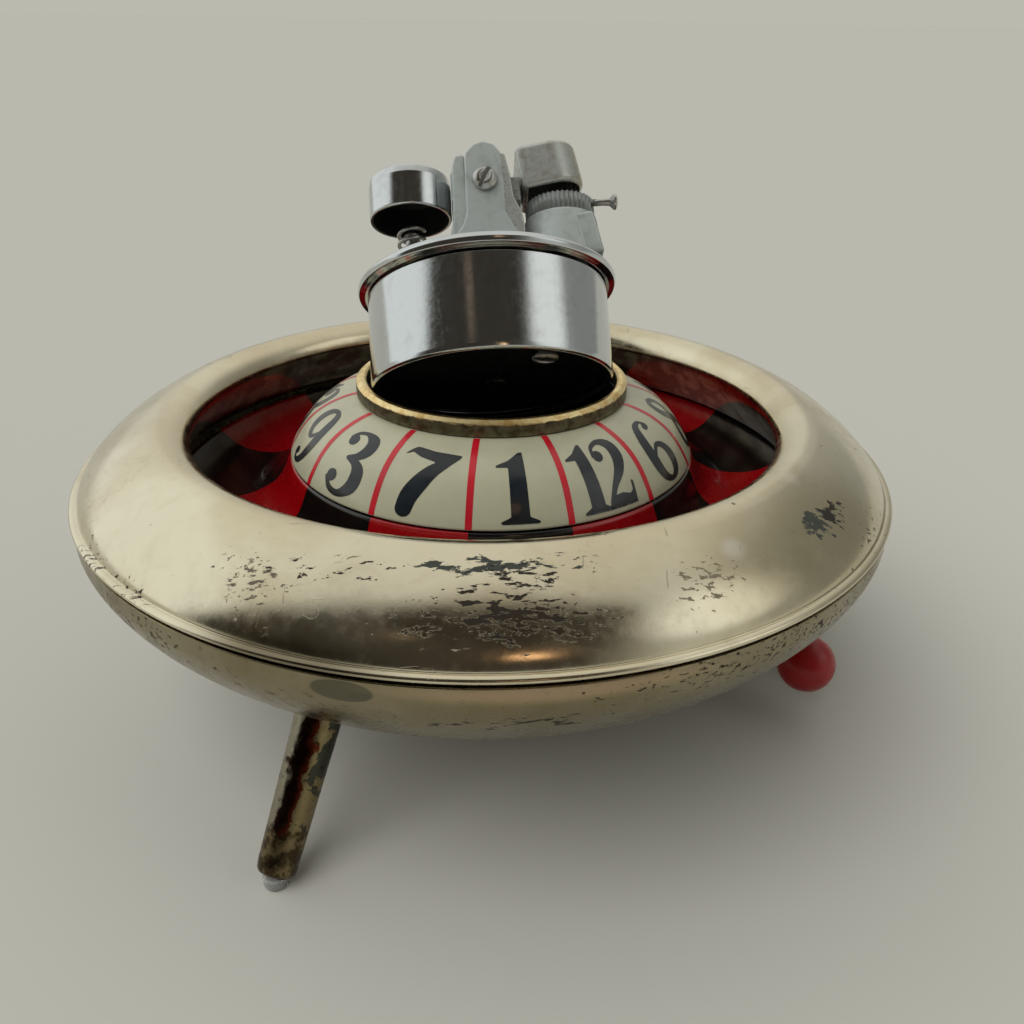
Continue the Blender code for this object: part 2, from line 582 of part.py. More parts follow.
def snuffer():
    """Arm, hooded cap and pad that close over the flame. The cap rises away from the pivot."""
    strap("snuffer_arm", 5.9, 4.9, -2.0, 2.6, 3.5, 28.3, 32.2, looks["tarnished"])
    hinge = (6.3, 0.0, 29.6)
    tilt = {"parent": insert_frame, "at": hinge, "turn": (0.0, SNUFFER_RISE, 0.0)}
    outer = [(0.1, -HOOD_R)] + arc(HOOD_R, -90.0, 90.0, 12, (HOOD_REACH, 0.0)) + [(0.1, HOOD_R)]
    hollow = HOOD_R - HOOD_WALL
    inner = [(0.8, -hollow)] + arc(hollow, -90.0, 90.0, 12, (HOOD_REACH, 0.0)) + [(0.8, hollow)]
    hood = plate("snuffer_cap", [outer], 0.0, HOOD_HEIGHT, looks["tarnished"], **tilt)
    cavity = HOOD_HEIGHT - HOOD_WALL
    combine(hood, plate("snuffer_hollow_cutter", [inner], -2.0, cavity, None, **tilt))
    rod("snuffer_pad", 3.6, 2.6, 4.6, looks["black_rubber"], parent=insert_frame,
        at=(hinge[0], 0.0, hinge[2]), turn=(0.0, SNUFFER_RISE, 0.0))
    pad = bpy.data.objects["snuffer_pad"]
    pad.location += Vector((4.4 * math.cos(SNUFFER_RISE), 0.0, -4.4 * math.sin(SNUFFER_RISE))) * MM


def flint_parts():
    place = {"parent": insert_frame, "at": (FLINT_X, 0, 0)}
    sleeve("flint_tube", 1.6, 2.4, 5.0, 26.2, looks["brass_plain"], **place)
    rod("flint", 1.25, 21.4, PIVOT_Z - FLINT_WHEEL_R - GAP, looks["steel_dark"], steps=12, **place)
    tube("flint_spring", helix(1.0, 5.3, 20.9, 6, (FLINT_X, 0.0), 6), 0.22, looks["steel"], sides=1,
         parent=insert_frame)


# ---------------------------------------------------------------- assembly

clear_scene()
pieces = new_collection("table_lighter")
cutters = new_collection("cutters")

looks = {
    "nickel_shell": finish("nickel_shell", (0.62, 0.56, 0.43), 1.0, 0.32),
    "leg_metal": finish("leg_metal", (0.30, 0.22, 0.13), 0.9, 0.45),
    "clear_plastic": finish("clear_plastic", (0.85, 0.86, 0.84), 0.0, 0.2, 0.6),
    "steel": finish("steel", (0.60, 0.60, 0.58), 1.0, 0.35),
    "steel_dark": finish("steel_dark", (0.12, 0.12, 0.11), 0.8, 0.5),
    "black_steel": finish("black_steel", (0.02, 0.02, 0.02), 0.6, 0.45),
    "brass": finish("brass", (0.78, 0.60, 0.30), 1.0, 0.25),
    "brass_plain": finish("brass_plain", (0.70, 0.52, 0.24), 1.0, 0.35),
    "cream_enamel": finish("cream_enamel", (0.62, 0.60, 0.44), 0.0, 0.35),
    "pocket_red": finish("pocket_red", (0.30, 0.01, 0.02), 0.0, 0.15),
    "red_plastic": finish("red_plastic", (0.45, 0.01, 0.01), 0.0, 0.3),
    "chrome": finish("chrome", (0.80, 0.82, 0.82), 1.0, 0.12),
    "die_cast": finish("die_cast", (0.55, 0.57, 0.56), 1.0, 0.38),
    "tarnished": finish("tarnished", (0.42, 0.35, 0.22), 1.0, 0.35),
    "cotton": finish("cotton", (0.75, 0.72, 0.64), 0.0, 0.95),
    "black_rubber": finish("black_rubber", (0.02, 0.02, 0.02), 0.0, 0.8),
}

insert_frame = bpy.data.objects.new("insert_frame", None)
cutters.objects.link(insert_frame)
insert_frame.hide_render = True
insert_frame.matrix_world = (Matrix.Translation(Vector(INSERT_AT) * MM)
                             @ Matrix.Rotation(-INSERT_TILT, 4, "X") @ Matrix.Rotation(INSERT_LEAN, 4, "Y"))

leg_frames = [leg_frame(number, angle) for number, angle in enumerate(LEG_ANGLES, 1)]
envelope = [(0, 60.0), (BAND_R + 5.0, 60.0), (BAND_R + 5.0, BAND_FOOT_Z)]
envelope += [(r + 0.2, z - GAP) for r, z in bowl_curve(0.0, 16)] + [(0, FLOOR_Z - GAP)]
bowl_envelope = turned("bowl_envelope", envelope, None, steps=44)

upper_shell()
lower_shell()
for index, (leg_angle, empty) in enumerate(zip(LEG_ANGLES, leg_frames), 1):
    leg(index, empty)
    leg_glide(index, leg_angle)
    leg_screw(index, empty)
socket()
number_dome()
pocket_tray()
wheel_works()
spin_lever()
tank()
top_flange()
mechanism_frame()
chimney()
pivot()
thumb_press()
snuffer()
flint_parts()
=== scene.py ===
from math import acos, cos, degrees, dist, exp, hypot, pi, radians, sin, tan

import bmesh
import bpy
from mathutils import Matrix, Vector, noise


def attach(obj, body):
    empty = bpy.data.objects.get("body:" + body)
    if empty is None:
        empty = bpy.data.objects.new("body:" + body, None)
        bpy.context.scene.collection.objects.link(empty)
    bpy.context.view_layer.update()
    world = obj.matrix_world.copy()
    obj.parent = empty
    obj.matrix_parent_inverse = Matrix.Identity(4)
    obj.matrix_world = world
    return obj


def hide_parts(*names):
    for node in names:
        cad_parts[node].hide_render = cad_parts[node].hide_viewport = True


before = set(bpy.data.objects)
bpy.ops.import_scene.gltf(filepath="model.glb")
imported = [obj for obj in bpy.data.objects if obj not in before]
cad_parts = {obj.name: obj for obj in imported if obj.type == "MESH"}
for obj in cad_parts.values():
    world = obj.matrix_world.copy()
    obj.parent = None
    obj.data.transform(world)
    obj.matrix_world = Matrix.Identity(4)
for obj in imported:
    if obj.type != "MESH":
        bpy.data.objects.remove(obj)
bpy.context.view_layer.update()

MM = 0.001
TAU = 2 * pi
FILLET_STEPS = 4


# ---- node helpers

class Nodes:
    """Short ways to build a node tree. The vector it starts from is kept as mm."""

    def __init__(self, tree):
        self.tree = tree
        self.mm = None

    def node(self, kind, inputs=None, **props):
        made = self.tree.nodes.new(kind)
        for key, value in props.items():
            setattr(made, key, value)
        for key, value in (inputs or {}).items():
            if isinstance(value, bpy.types.NodeSocket):
                self.tree.links.new(value, made.inputs[key])
            else:
                made.inputs[key].default_value = value
        return made

    def stretch(self, scale, turn=(0, 0, 0), shift=(0, 0, 0)):
        return self.node("ShaderNodeMapping", {"Vector": self.mm, "Scale": scale, "Rotation": turn,
            "Location": shift}).outputs[0]

    def noise(self, scale, detail=4, rough=0.55, warp=0, vector=None):
        return self.node("ShaderNodeTexNoise", {"Vector": vector or self.mm, "Scale": scale,
            "Detail": detail, "Roughness": rough, "Distortion": warp}).outputs[0]

    def cells(self, scale):
        return self.node("ShaderNodeTexVoronoi", {"Vector": self.mm, "Scale": scale}).outputs[0]

    def math(self, operation, a, b=0):
        return self.node("ShaderNodeMath", {0: a, 1: b}, operation=operation).outputs[0]

    def plus(self, a, b):
        return self.math("ADD", a, b)

    def less(self, a, b):
        return self.math("SUBTRACT", a, b)

    def times(self, a, b):
        return self.math("MULTIPLY", a, b)

    def most(self, a, b):
        return self.math("MAXIMUM", a, b)

    def span(self, value, low, high, to_low=0, to_high=1):
        """Smooth step from to_low at low to to_high at high."""
        inputs = {"Value": value, "From Min": low, "From Max": high, "To Min": to_low, "To Max": to_high}
        return self.node("ShaderNodeMapRange", inputs, clamp=True,
            interpolation_type="SMOOTHSTEP").outputs[0]

    def mix(self, factor, a, b):
        made = self.tree.nodes.new("ShaderNodeMix")
        made.data_type = "RGBA"
        for socket, value in ((made.inputs[0], factor), (made.inputs[6], a), (made.inputs[7], b)):
            if isinstance(value, bpy.types.NodeSocket):
                self.tree.links.new(value, socket)
            elif isinstance(value, tuple):
                socket.default_value = (*value[:3], 1)
            else:
                socket.default_value = value
        return made.outputs[2]

    def blend(self, factor, a, b):
        """Float mix: a where the factor is 0 and b where it is 1."""
        return self.node("ShaderNodeMix", {0: factor, 2: a, 3: b}).outputs[0]

    def axis(self, index):
        return self.node("ShaderNodeSeparateXYZ", {0: self.mm}).outputs[index]

    def radius(self):
        """Distance from the Z axis."""
        flat = self.node("ShaderNodeVectorMath", {0: self.mm, 1: (1, 1, 0)},
            operation="MULTIPLY").outputs[0]
        return self.node("ShaderNodeVectorMath", {0: flat}, operation="LENGTH").outputs[1]

    def spot(self, point, size, turn=0, soft=0.6):
        """1 inside an ellipse round a point, size along X and Y after a turn about Z."""
        moved = self.node("ShaderNodeVectorMath", {0: self.mm, 1: point}, operation="SUBTRACT").outputs[0]
        aimed = self.node("ShaderNodeVectorRotate", {"Vector": moved, "Angle": -turn},
            rotation_type="Z_AXIS")
        shaped = self.node("ShaderNodeVectorMath", {0: aimed.outputs[0], 1: tuple(1 / s for s in size)},
            operation="MULTIPLY")
        away = self.node("ShaderNodeVectorMath", {0: shaped.outputs[0]}, operation="LENGTH").outputs[1]
        return self.span(away, 1 - soft, 1, 1, 0)

    def bump(self, height, distance, strength=1, after=None):
        inputs = {"Height": height, "Distance": distance * MM, "Strength": strength}
        if after is not None:
            inputs["Normal"] = after
        return self.node("ShaderNodeBump", inputs).outputs[0]


class Look(Nodes):
    """A procedural Principled material. Lengths inside its nodes are millimetres."""

    def __init__(self, name, colour=(0.8, 0.8, 0.8), metallic=0, roughness=0.4, **sockets):
        self.material = bpy.data.materials.new(name)
        self.material.use_nodes = True
        super().__init__(self.material.node_tree)
        self.shader = self.tree.nodes["Principled BSDF"]
        self.set("Base Color", (*colour, 1))
        self.set("Metallic", metallic)
        self.set("Roughness", roughness)
        for key, value in sockets.items():
            self.set(key.replace("_", " "), value)
        coords = self.tree.nodes.new("ShaderNodeTexCoord")
        self.mm = self.node("ShaderNodeVectorMath", {0: coords.outputs["Object"], "Scale": 1000},
            operation="SCALE").outputs[0]

    def set(self, socket, value):
        target = self.shader.inputs[socket]
        if isinstance(value, bpy.types.NodeSocket):
            self.tree.links.new(value, target)
        else:
            target.default_value = value


# ---- mesh helpers

def shift(x, y, z):
    """Move by millimetres."""
    return Matrix.Translation(Vector((x, y, z)) * MM)


def link(name, data):
    obj = bpy.data.objects.new(name, data)
    bpy.context.scene.collection.objects.link(obj)
    return obj


def place(name, mesh, look, body, at=None, node=None, smooth=True):
    """Make a piece of a mesh and its look or looks, riding on a body."""
    obj = link(name, mesh)
    looks = look if isinstance(look, (list, tuple)) else [look]
    for item in looks:
        mesh.materials.append(item.material)
    if at is not None:
        obj.matrix_world = at
    if smooth:
        mesh.shade_smooth()
        obj.modifiers.new("normals", "WEIGHTED_NORMAL").keep_sharp = True
    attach(obj, body)
    if node:
        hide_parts(node)
    return obj


def to_mesh(name, shape):
    bmesh.ops.recalc_face_normals(shape, faces=shape.faces)
    mesh = bpy.data.meshes.new(name)
    shape.to_mesh(mesh)
    shape.free()
    return mesh


def fillet(points, closed=False):
    """Rounds the corners of (radius, height[, fillet]) points."""
    out = []
    count = len(points)
    for i, point in enumerate(points):
        here = Vector(point[:2])
        size = point[2] if len(point) > 2 else 0
        if size <= 0 or (not closed and i in (0, count - 1)):
            out.append(here)
            continue
        before = Vector(points[i - 1][:2]) - here
        after = Vector(points[(i + 1) % count][:2]) - here
        angle = before.angle(after)
        reach = min(size / max(tan(angle / 2), 1e-6), before.length * 0.49, after.length * 0.49)
        a = here + before.normalized() * reach
        b = here + after.normalized() * reach
        for k in range(FILLET_STEPS + 1):
            t = k / FILLET_STEPS
            out.append((1 - t) ** 2 * a + 2 * t * (1 - t) * here + t ** 2 * b)
    return [(p[0], p[1]) for p in out]


def spline(points, per):
    """Catmull-Rom through 2-D or 3-D points, with per steps between two."""
    pts = [Vector(p) for p in points]
    count = len(pts)
    out = []
    for i in range(count - 1):
        p1, p2 = pts[i], pts[i + 1]
        p0 = pts[i - 1] if i > 0 else p1 + (p1 - p2)
        p3 = pts[i + 2] if i + 2 < count else p2 + (p2 - p1)
        for k in range(per):
            t = k / per
            out.append(0.5 * ((2 * p1) + (p2 - p0) * t + (2 * p0 - 5 * p1 + 4 * p2 - p3) * t * t
                + (3 * p1 - p0 - 3 * p2 + p3) * t ** 3))
    return [tuple(p) for p in out + [pts[-1]]]


def lathe(name, profile, steps, closed=False, start=0, slot_of=None, move=None):
    """Mesh turned about Z from (radius, height) points.
    slot_of gives a face's material from its ring and step, and move shifts a point."""
    shape = bmesh.new()
    rings = []
    for r, z in profile:
        if r < 1e-6:
            rings.append([shape.verts.new((0, 0, z * MM))] * steps)
            continue
        ring = []
        for k in range(steps):
            a = start + TAU * k / steps
            spot = Vector((r * cos(a), r * sin(a), z))
            if move:
                spot = move(spot)
            ring.append(shape.verts.new(spot * MM))
        rings.append(ring)
    pairs = list(zip(rings, rings[1:]))
    if closed:
        pairs.append((rings[-1], rings[0]))
    for row, (a, b) in enumerate(pairs):
        for k in range(steps):
            n = (k + 1) % steps
            corners = []
            for v in (a[k], a[n], b[n], b[k]):
                if v not in corners:
                    corners.append(v)
            if len(corners) > 2:
                face = shape.faces.new(corners)
                if slot_of:
                    face.material_index = slot_of(row, k)
    return to_mesh(name, shape)


def prism(name, outlines, low, high, bevel=0.2, segments=2, stand=False, limit=35):
    """Flat outlines (the first outside, the rest holes) raised from low to high, with rounded edges.
    With stand, the outline is in XZ and low to high runs along +Y."""
    curve = bpy.data.curves.new(name, "CURVE")
    curve.dimensions = "2D"
    curve.fill_mode = "BOTH"
    curve.extrude = (high - low) / 2 * MM
    for line in outlines:
        piece = curve.splines.new("POLY")
        piece.points.add(len(line) - 1)
        for point, (x, y) in zip(piece.points, line):
            point.co = (x * MM, y * MM, 0, 1)
        piece.use_cyclic_u = True
    guide = link(name, curve)
    bpy.context.view_layer.update()
    graph = bpy.context.evaluated_depsgraph_get()
    mesh = bpy.data.meshes.new_from_object(guide.evaluated_get(graph))
    bpy.data.objects.remove(guide, do_unlink=True)
    bpy.data.curves.remove(curve)
    mesh.materials.clear()
    shape = bmesh.new()
    shape.from_mesh(mesh)
    bpy.data.meshes.remove(mesh)
    bmesh.ops.remove_doubles(shape, verts=shape.verts, dist=1e-6)
    bmesh.ops.dissolve_limit(shape, angle_limit=0.01, verts=shape.verts, edges=shape.edges)
    bmesh.ops.translate(shape, verts=shape.verts, vec=(0, 0, (low + high) / 2 * MM))
    if stand:
        bmesh.ops.rotate(shape, verts=shape.verts, cent=(0, 0, 0), matrix=Matrix.Rotation(pi / 2, 3, "X"))
        bmesh.ops.scale(shape, verts=shape.verts, vec=(1, -1, 1))
    if bevel:
        bmesh.ops.recalc_face_normals(shape, faces=shape.faces)
        edges = [e for e in shape.edges if len(e.link_faces) == 2 and e.calc_face_angle(0) > radians(limit)]
        bmesh.ops.bevel(shape, geom=edges, offset=bevel * MM, segments=segments, profile=0.5,
            affect="EDGES", clamp_overlap=True)
    return to_mesh(name, shape)


def wire(name, points, radius, sides):
    """Round wire mesh along points, closed at both ends."""
    shape = bmesh.new()
    pts = [Vector(p) for p in points]
    rings = []
    side = None
    for i, p in enumerate(pts):
        way = (pts[min(i + 1, len(pts) - 1)] - pts[max(i - 1, 0)]).normalized()
        if side is None:
            side = way.orthogonal().normalized()
        side = (side - way * side.dot(way)).normalized()
        up = way.cross(side)
        ring = []
        for k in range(sides):
            a = TAU * k / sides
            ring.append(shape.verts.new((p + (side * cos(a) + up * sin(a)) * radius) * MM))
        rings.append(ring)
    for a, b in zip(rings, rings[1:]):
        for k in range(sides):
            shape.faces.new((a[k], a[(k + 1) % sides], b[(k + 1) % sides], b[k]))
    shape.faces.new(rings[0][::-1])
    shape.faces.new(rings[-1])
    return to_mesh(name, shape)


def turned(name, line, steps, look, body, node, slot, at=None, **how):
    """A lathe piece that stands for a CAD node."""
    return place(name, lathe(name, line, steps, **how), look, body, at=at, node=node)


def cut(obj, mesh, at=None):
    """Removes a mesh's volume from an object."""
    tool = link("tool", mesh)
    if at is not None:
        tool.matrix_world = at
    step = obj.modifiers.new("cut", "BOOLEAN")
    step.operation = "DIFFERENCE"
    step.solver = "EXACT"
    step.object = tool
    bpy.context.view_layer.update()
    graph = bpy.context.evaluated_depsgraph_get()
    made = bpy.data.meshes.new_from_object(obj.evaluated_get(graph))
    obj.modifiers.remove(step)
    old = obj.data
    obj.data = made
    made.name = old.name
    bpy.data.objects.remove(tool, do_unlink=True)


def arc(radius, first, last, count, centre=(0, 0)):
    """Points on an arc, from first to last degrees."""
    angles = [radians(first + (last - first) * i / count) for i in range(count + 1)]
    return [(centre[0] + radius * cos(a), centre[1] + radius * sin(a)) for a in angles]


def superquarter(start, end, power, count, last=90):
    """Points on a quarter of a superellipse from start towards end, as far as last degrees."""
    points = []
    for i in range(count + 1):
        a = radians(last * i / count)
        across = max(cos(a), 0) ** power
        along = sin(a) ** power
        points.append((end[0] + (start[0] - end[0]) * across, start[1] + (end[1] - start[1]) * along))
    return points


AXIS_AT = shift(1.1, 0, 0)      # the wheel's axis

# ---- materials

def aged_nickel(name, base, deep, stain, rough=(0.16, 0.3), marks=(), tints_and_painted_light=(), pits=0, reflected_brown=None):
    """Old nickel plate: cloudy tint, haze, pinholes, hair scratches, and worn flecks where marks says.
    A mark is (point, size, turn, density, colour, pitch). Tint patches, each (point, size, turn, colour,
    depth), hold stains, painted reflections and painted highlights; a colour for the inner wall below the lip
    paints a reddish-brown reflection there."""
    look = Look(name, metallic=1)
    cloud = look.noise(0.05, 4, 0.55, 0.3)
    tint = look.mix(look.span(cloud, 0.38, 0.62), base, deep)
    bloom = look.noise(0.16, 5, 0.6, 0.5)
    tint = look.mix(look.span(bloom, 0.52, 0.75, 0, 0.22), tint, stain)
    # tint patches: stains, plus painted reflections and painted highlights where a list puts them
    for point, size, turn, colour, depth in tints_and_painted_light:
        patch = look.spot(point, size, turn, 0.12 if depth == 1 else 0.75)
        tint = look.mix(look.times(patch, depth), tint, colour)
    # painted reflection: the inner wall below the lip is tinted reddish brown, streaked with the stain
    # colour, standing in for what the wall reflects
    if reflected_brown:
        inner = look.span(look.radius(), 51.5, 52.5, 1, 0)
        inner = look.times(inner, look.span(look.axis(2), 47, 49.3, 1, 0))
        streaked_reflection = look.mix(look.span(look.noise(0.22, 5, 0.6, 0.3), 0.42, 0.6), reflected_brown, stain)
        tint = look.mix(look.times(inner, 0.9), tint, streaked_reflection)
    damage = None
    for point, size, turn, density, colour, pitch in marks:
        patch = look.spot(point, size, turn, 0.9)
        along = look.stretch((0.3 * pitch, 0.85 * pitch, 0.85 * pitch), turn=(0, 0, -turn))
        fleck = look.plus(look.noise(1, 7, 0.66, 0.25, along), look.times(patch, 0.1 * density))
        fleck = look.times(look.span(fleck, 0.640, 0.655), look.span(patch, 0.02, 0.12))
        tint = look.mix(fleck, tint, colour)
        damage = fleck if damage is None else look.most(damage, fleck)
    wander = look.noise(0.33, 2, 0.5, 0.6)
    hair = look.span(look.math("ABSOLUTE", look.less(wander, 0.5)), 0, 0.0035, 1, 0)
    where = look.span(look.noise(0.1, 5, 0.75), 0.56, 0.62)
    hair = look.times(hair, where)
    slant = look.noise(1, 2, 0.5, 0, look.stretch((0.1, 1.6, 0.5), turn=(0, 0.2, 0.6)))
    slant2 = look.noise(1, 2, 0.5, 0, look.stretch((1.5, 0.1, 0.4), turn=(0.1, 0, -0.4)))
    scored = look.most(look.span(slant, 0.745, 0.765), look.span(slant2, 0.75, 0.77))
    scored = look.most(hair, look.times(scored, 0.7))
    tint = look.mix(look.times(scored, 0.5), tint, tuple(c * 0.22 for c in base))
    dots = look.span(look.cells(0.16), 0.035, 0.055, 1, 0)
    dots = look.times(dots, look.span(look.noise(0.07, 3), 0.47, 0.52))
    grit = look.span(look.noise(1.5, 6, 0.7), 0.7 - 0.1 * pits, 0.73 - 0.1 * pits)
    holes = look.most(dots, look.times(grit, look.span(cloud, 0.42, 0.58, 0.25, 1)))
    tint = look.mix(look.times(holes, 0.85), tint, tuple(c * 0.22 for c in stain))
    damage = holes if damage is None else look.most(damage, holes)
    look.set("Base Color", tint)
    haze = look.span(look.noise(0.14, 6, 0.7), 0.35, 0.65, rough[0], rough[1])
    haze = look.plus(haze, look.span(look.noise(0.8, 5, 0.7), 0.4, 0.7, 0, 0.07))
    look.set("Roughness", look.blend(damage, haze, 0.6))
    look.set("Metallic", look.blend(damage, 1, 0.3))
    first = look.bump(look.noise(0.055, 2, 0.4), 0.5, 0.1)
    second = look.bump(look.noise(2.4, 4, 0.6), 0.015, 0.25, first)
    marked = look.most(damage, look.times(scored, 0.4))
    look.set("Normal", look.bump(look.less(1, marked), 0.05, 0.7, second))
    return look


def plain_metal(name, colour, rough, dirt=(0.05, 0.04, 0.03), amount=0.5, scale=0.5, grain=0.01):
    look = Look(name, metallic=1)
    cloud = look.noise(scale, 6, 0.65, 0.5)
    tint = look.mix(look.span(cloud, 0.45, 0.75, 0, amount), colour, dirt)
    look.set("Base Color", tint)
    look.set("Roughness", look.span(look.noise(scale * 3, 6, 0.7), 0.3, 0.7, rough * 0.8, rough * 1.35))
    look.set("Normal", look.bump(look.noise(6, 4, 0.6), grain, 0.5))
    return look


BLACK = (0.022, 0.016, 0.010)
BROWN = (0.026, 0.016, 0.008)
GREEN = (0.045, 0.050, 0.042)
CROWN_MARKS = [
    ((3, -56.4, 46.8), (12, 6.5, 6.5), 0, 1.3, BLACK, 1),
    ((6, -57.3, 46.2), (8, 4.5, 4.5), 0, 1.35, BROWN, 1.2),
    ((2, -52, 50.2), (15, 2.6, 3), 0.05, 1.35, GREEN, 1.1),
    ((4, -53.2, 49.6), (7, 2.2, 3), 0, 1.2, BLACK, 1.5),
    ((-6, -57.4, 46.4), (9, 3.2, 4), -0.1, 0.9, BROWN, 1.2),
    ((12.5, -57, 46), (5, 1.8, 3), 0.2, 0.9, BLACK, 1.3),
    ((-13.5, -51.5, 49.6), (6, 2, 3), -0.26, 0.8, BLACK, 1.3),
    ((42, -36.8, 47.3), (6.5, 3.6, 4), 0.87, 1.9, GREEN, 1),
    ((45.4, -33.8, 47.2), (5, 2.8, 3), 0.87, 1.8, BLACK, 1.1),
    ((25.2, -50.9, 47.1), (7, 4.2, 4), 0.5, 1.1, (0.2, 0.17, 0.11), 1.8),
    ((-27, -50.4, 46.8), (7, 5, 5), -0.5, 1, (0.12, 0.1, 0.07), 1.7),
    ((-21.5, -50.3, 48.6), (5.5, 2.6, 3.5), -0.5, 0.65, BLACK, 1.4),
    ((-42.7, -44.2, 41.6), (7, 3.5, 2.6), -0.8, 1.1, BROWN, 1.4),
    ((-50, -36, 42), (8, 4, 2.6), -0.95, 0.9, BROWN, 1.4),
    ((52, -30, 43.5), (9, 4, 3), 1.05, 0.5, BROWN, 1.4),
    ((-48, 22, 50), (12, 6, 5), 1.1, 0.5, BROWN, 1.2),
    ((10, 52, 49), (12, 5, 5), -0.1, 0.7, BLACK, 1.2),
]
CROWN_TINTS_AND_PAINTED_LIGHT = [
    # painted reflection: a dark patch low on the front left stands in for a dark reflection there
    ((-22, -59, 41.5), (17, 12, 3.6), -0.35, (0.17, 0.14, 0.09), 0.85),
    ((42, -38, 46), (24, 14, 9), 0.8, (0.46, 0.4, 0.25), 0.75),
    ((1, -57, 46.3), (13, 6, 4), 0, (0.3, 0.22, 0.12), 0.5),
    # painted highlights: two small pale spots high on the front right stand in for glints
    ((29.5, -46, 49), (2.6, 2.2, 2), 0.7, (0.86, 0.82, 0.7), 0.55),
    ((40, -30, 50), (2.4, 2, 2), 0.9, (0.86, 0.82, 0.7), 0.5),
]
# the last colour is a painted reddish-brown reflection on the inner wall below the lip
nickel = aged_nickel("nickel_crown", (0.76, 0.7, 0.53), (0.66, 0.58, 0.41), (0.48, 0.4, 0.24), (0.11, 0.22),
    marks=CROWN_MARKS, tints_and_painted_light=CROWN_TINTS_AND_PAINTED_LIGHT, reflected_brown=(0.2, 0.085, 0.04))
BAND_MARKS = [
    ((30, -54, 38.6), (26, 14, 4), 0.5, 0.85, BROWN, 2.2),
    ((45, -42, 38.6), (22, 12, 4), 0.8, 0.7, BLACK, 2.4),
    ((2, -60, 34.6), (20, 6, 2.2), 0, 0.95, BLACK, 1),
    ((-20, -58, 36), (14, 5, 2.4), -0.3, 0.8, (0.16, 0.11, 0.06), 1),
    ((-42, -45, 38), (20, 10, 4), -0.8, 0.8, BROWN, 1.6),
    ((10, 60, 37), (26, 10, 4), 0, 0.8, BROWN, 1.5),
]
BAND_SHADES = [
    ((-15.6, -60.2, 38.9), (3.9, 3, 1.5), -0.25, (0.14, 0.13, 0.09), 1),
    ((8, -60, 39.6), (26, 10, 1.6), 0.1, (0.6, 0.42, 0.28), 0.5),
]
nickel_low = aged_nickel("nickel_bowl", (0.31, 0.27, 0.175), (0.25, 0.21, 0.125), (0.15, 0.115, 0.06),
    rough=(0.2, 0.34), marks=BAND_MARKS, tints_and_painted_light=BAND_SHADES, pits=0.5)
steel = plain_metal("plain_steel", (0.55, 0.55, 0.53), 0.32)
dark_steel = plain_metal("dark_steel", (0.1, 0.09, 0.08), 0.42, amount=0.3)
brass = plain_metal("turned_brass", (0.72, 0.54, 0.26), 0.28, (0.2, 0.12, 0.05), 0.5)


def worn_brass_collar():
    """Nickel side, brass top face where the plate has worn off in chips."""
    look = Look("collar_metal", metallic=1)
    height = look.axis(2)
    ragged = look.plus(height, look.times(look.less(look.noise(0.9, 6, 0.7, 0.8), 0.5), 1.1))
    bare = look.span(ragged, 54.3, 54.42)
    nickel_side = look.mix(look.span(look.noise(0.8, 5), 0.35, 0.7), (0.27, 0.25, 0.17), (0.12, 0.1, 0.06))
    gold = look.mix(look.span(look.noise(0.45, 6, 0.7), 0.4, 0.7), (1, 0.82, 0.44), (0.74, 0.48, 0.18))
    chips = look.span(look.noise(0.7, 8, 0.8, 0.5), 0.63, 0.66)
    gold = look.mix(chips, gold, (0.08, 0.05, 0.03))
    look.set("Base Color", look.mix(bare, nickel_side, gold))
    look.set("Roughness", look.blend(bare, 0.42, look.span(look.noise(1.5, 5), 0.3, 0.7, 0.3, 0.48)))
    look.set("Normal", look.bump(look.noise(1.6, 6, 0.7), 0.05, 0.5))
    return look


def enamel(name, colour, coat=0.6, rough=0.22, speck=(0.1, 0.09, 0.07), vary=0.08):
    look = Look(name, colour, 0, rough, Coat_Weight=coat, Coat_Roughness=0.06)
    cloud = look.noise(0.12, 6, 0.6)
    dull = tuple(c * (1 - vary * 2) for c in colour)
    tint = look.mix(look.span(cloud, 0.35, 0.7), colour, dull)
    dust = look.span(look.noise(2.6, 6, 0.7), 0.7, 0.76)
    tint = look.mix(look.times(dust, 0.5), tint, speck)
    look.set("Base Color", tint)
    look.set("Roughness", look.span(look.noise(0.5, 6, 0.7), 0.3, 0.7, rough * 0.8, rough * 1.4))
    look.set("Normal", look.bump(look.noise(0.35, 3), 0.06, 0.25))
    return look


cream = enamel("cream_enamel", (0.37, 0.362, 0.255), coat=0.18, rough=0.34, vary=0.05)
ink = enamel("number_ink", (0.008, 0.012, 0.016), coat=0.25, rough=0.3, vary=0.3, speck=(0.05, 0.05, 0.045))
red_line = enamel("red_line", (0.42, 0.005, 0.016), coat=0.2, rough=0.3)
tray_red = enamel("pocket_red", (0.22, 0.0006, 0.003), coat=0.35, rough=0.22, speck=(0.1, 0.01, 0.01))
tray_black = enamel("pocket_black", (0.003, 0.003, 0.003), coat=0.35, rough=0.16, speck=(0.02, 0.02, 0.018))
collar_metal = worn_brass_collar()
CHROME = (0.62, 0.65, 0.66)


def chrome_look():
    look = Look("cup_chrome", CHROME, 1, 0.1)
    fine = look.noise(1.1, 6, 0.7)
    along = look.noise(1, 4, 0.6, 0, look.stretch((2.6, 2.6, 0.12)))
    dull = look.span(look.noise(0.3, 5), 0.5, 0.8, 0, 0.35)
    look.set("Base Color", look.mix(dull, CHROME, (0.38, 0.37, 0.34)))
    haze = look.plus(look.span(fine, 0.35, 0.75, 0.09, 0.2), look.span(along, 0.55, 0.75, 0, 0.1))
    look.set("Roughness", haze)
    look.set("Normal", look.bump(look.noise(1.6, 5), 0.014, 0.5))
    return look


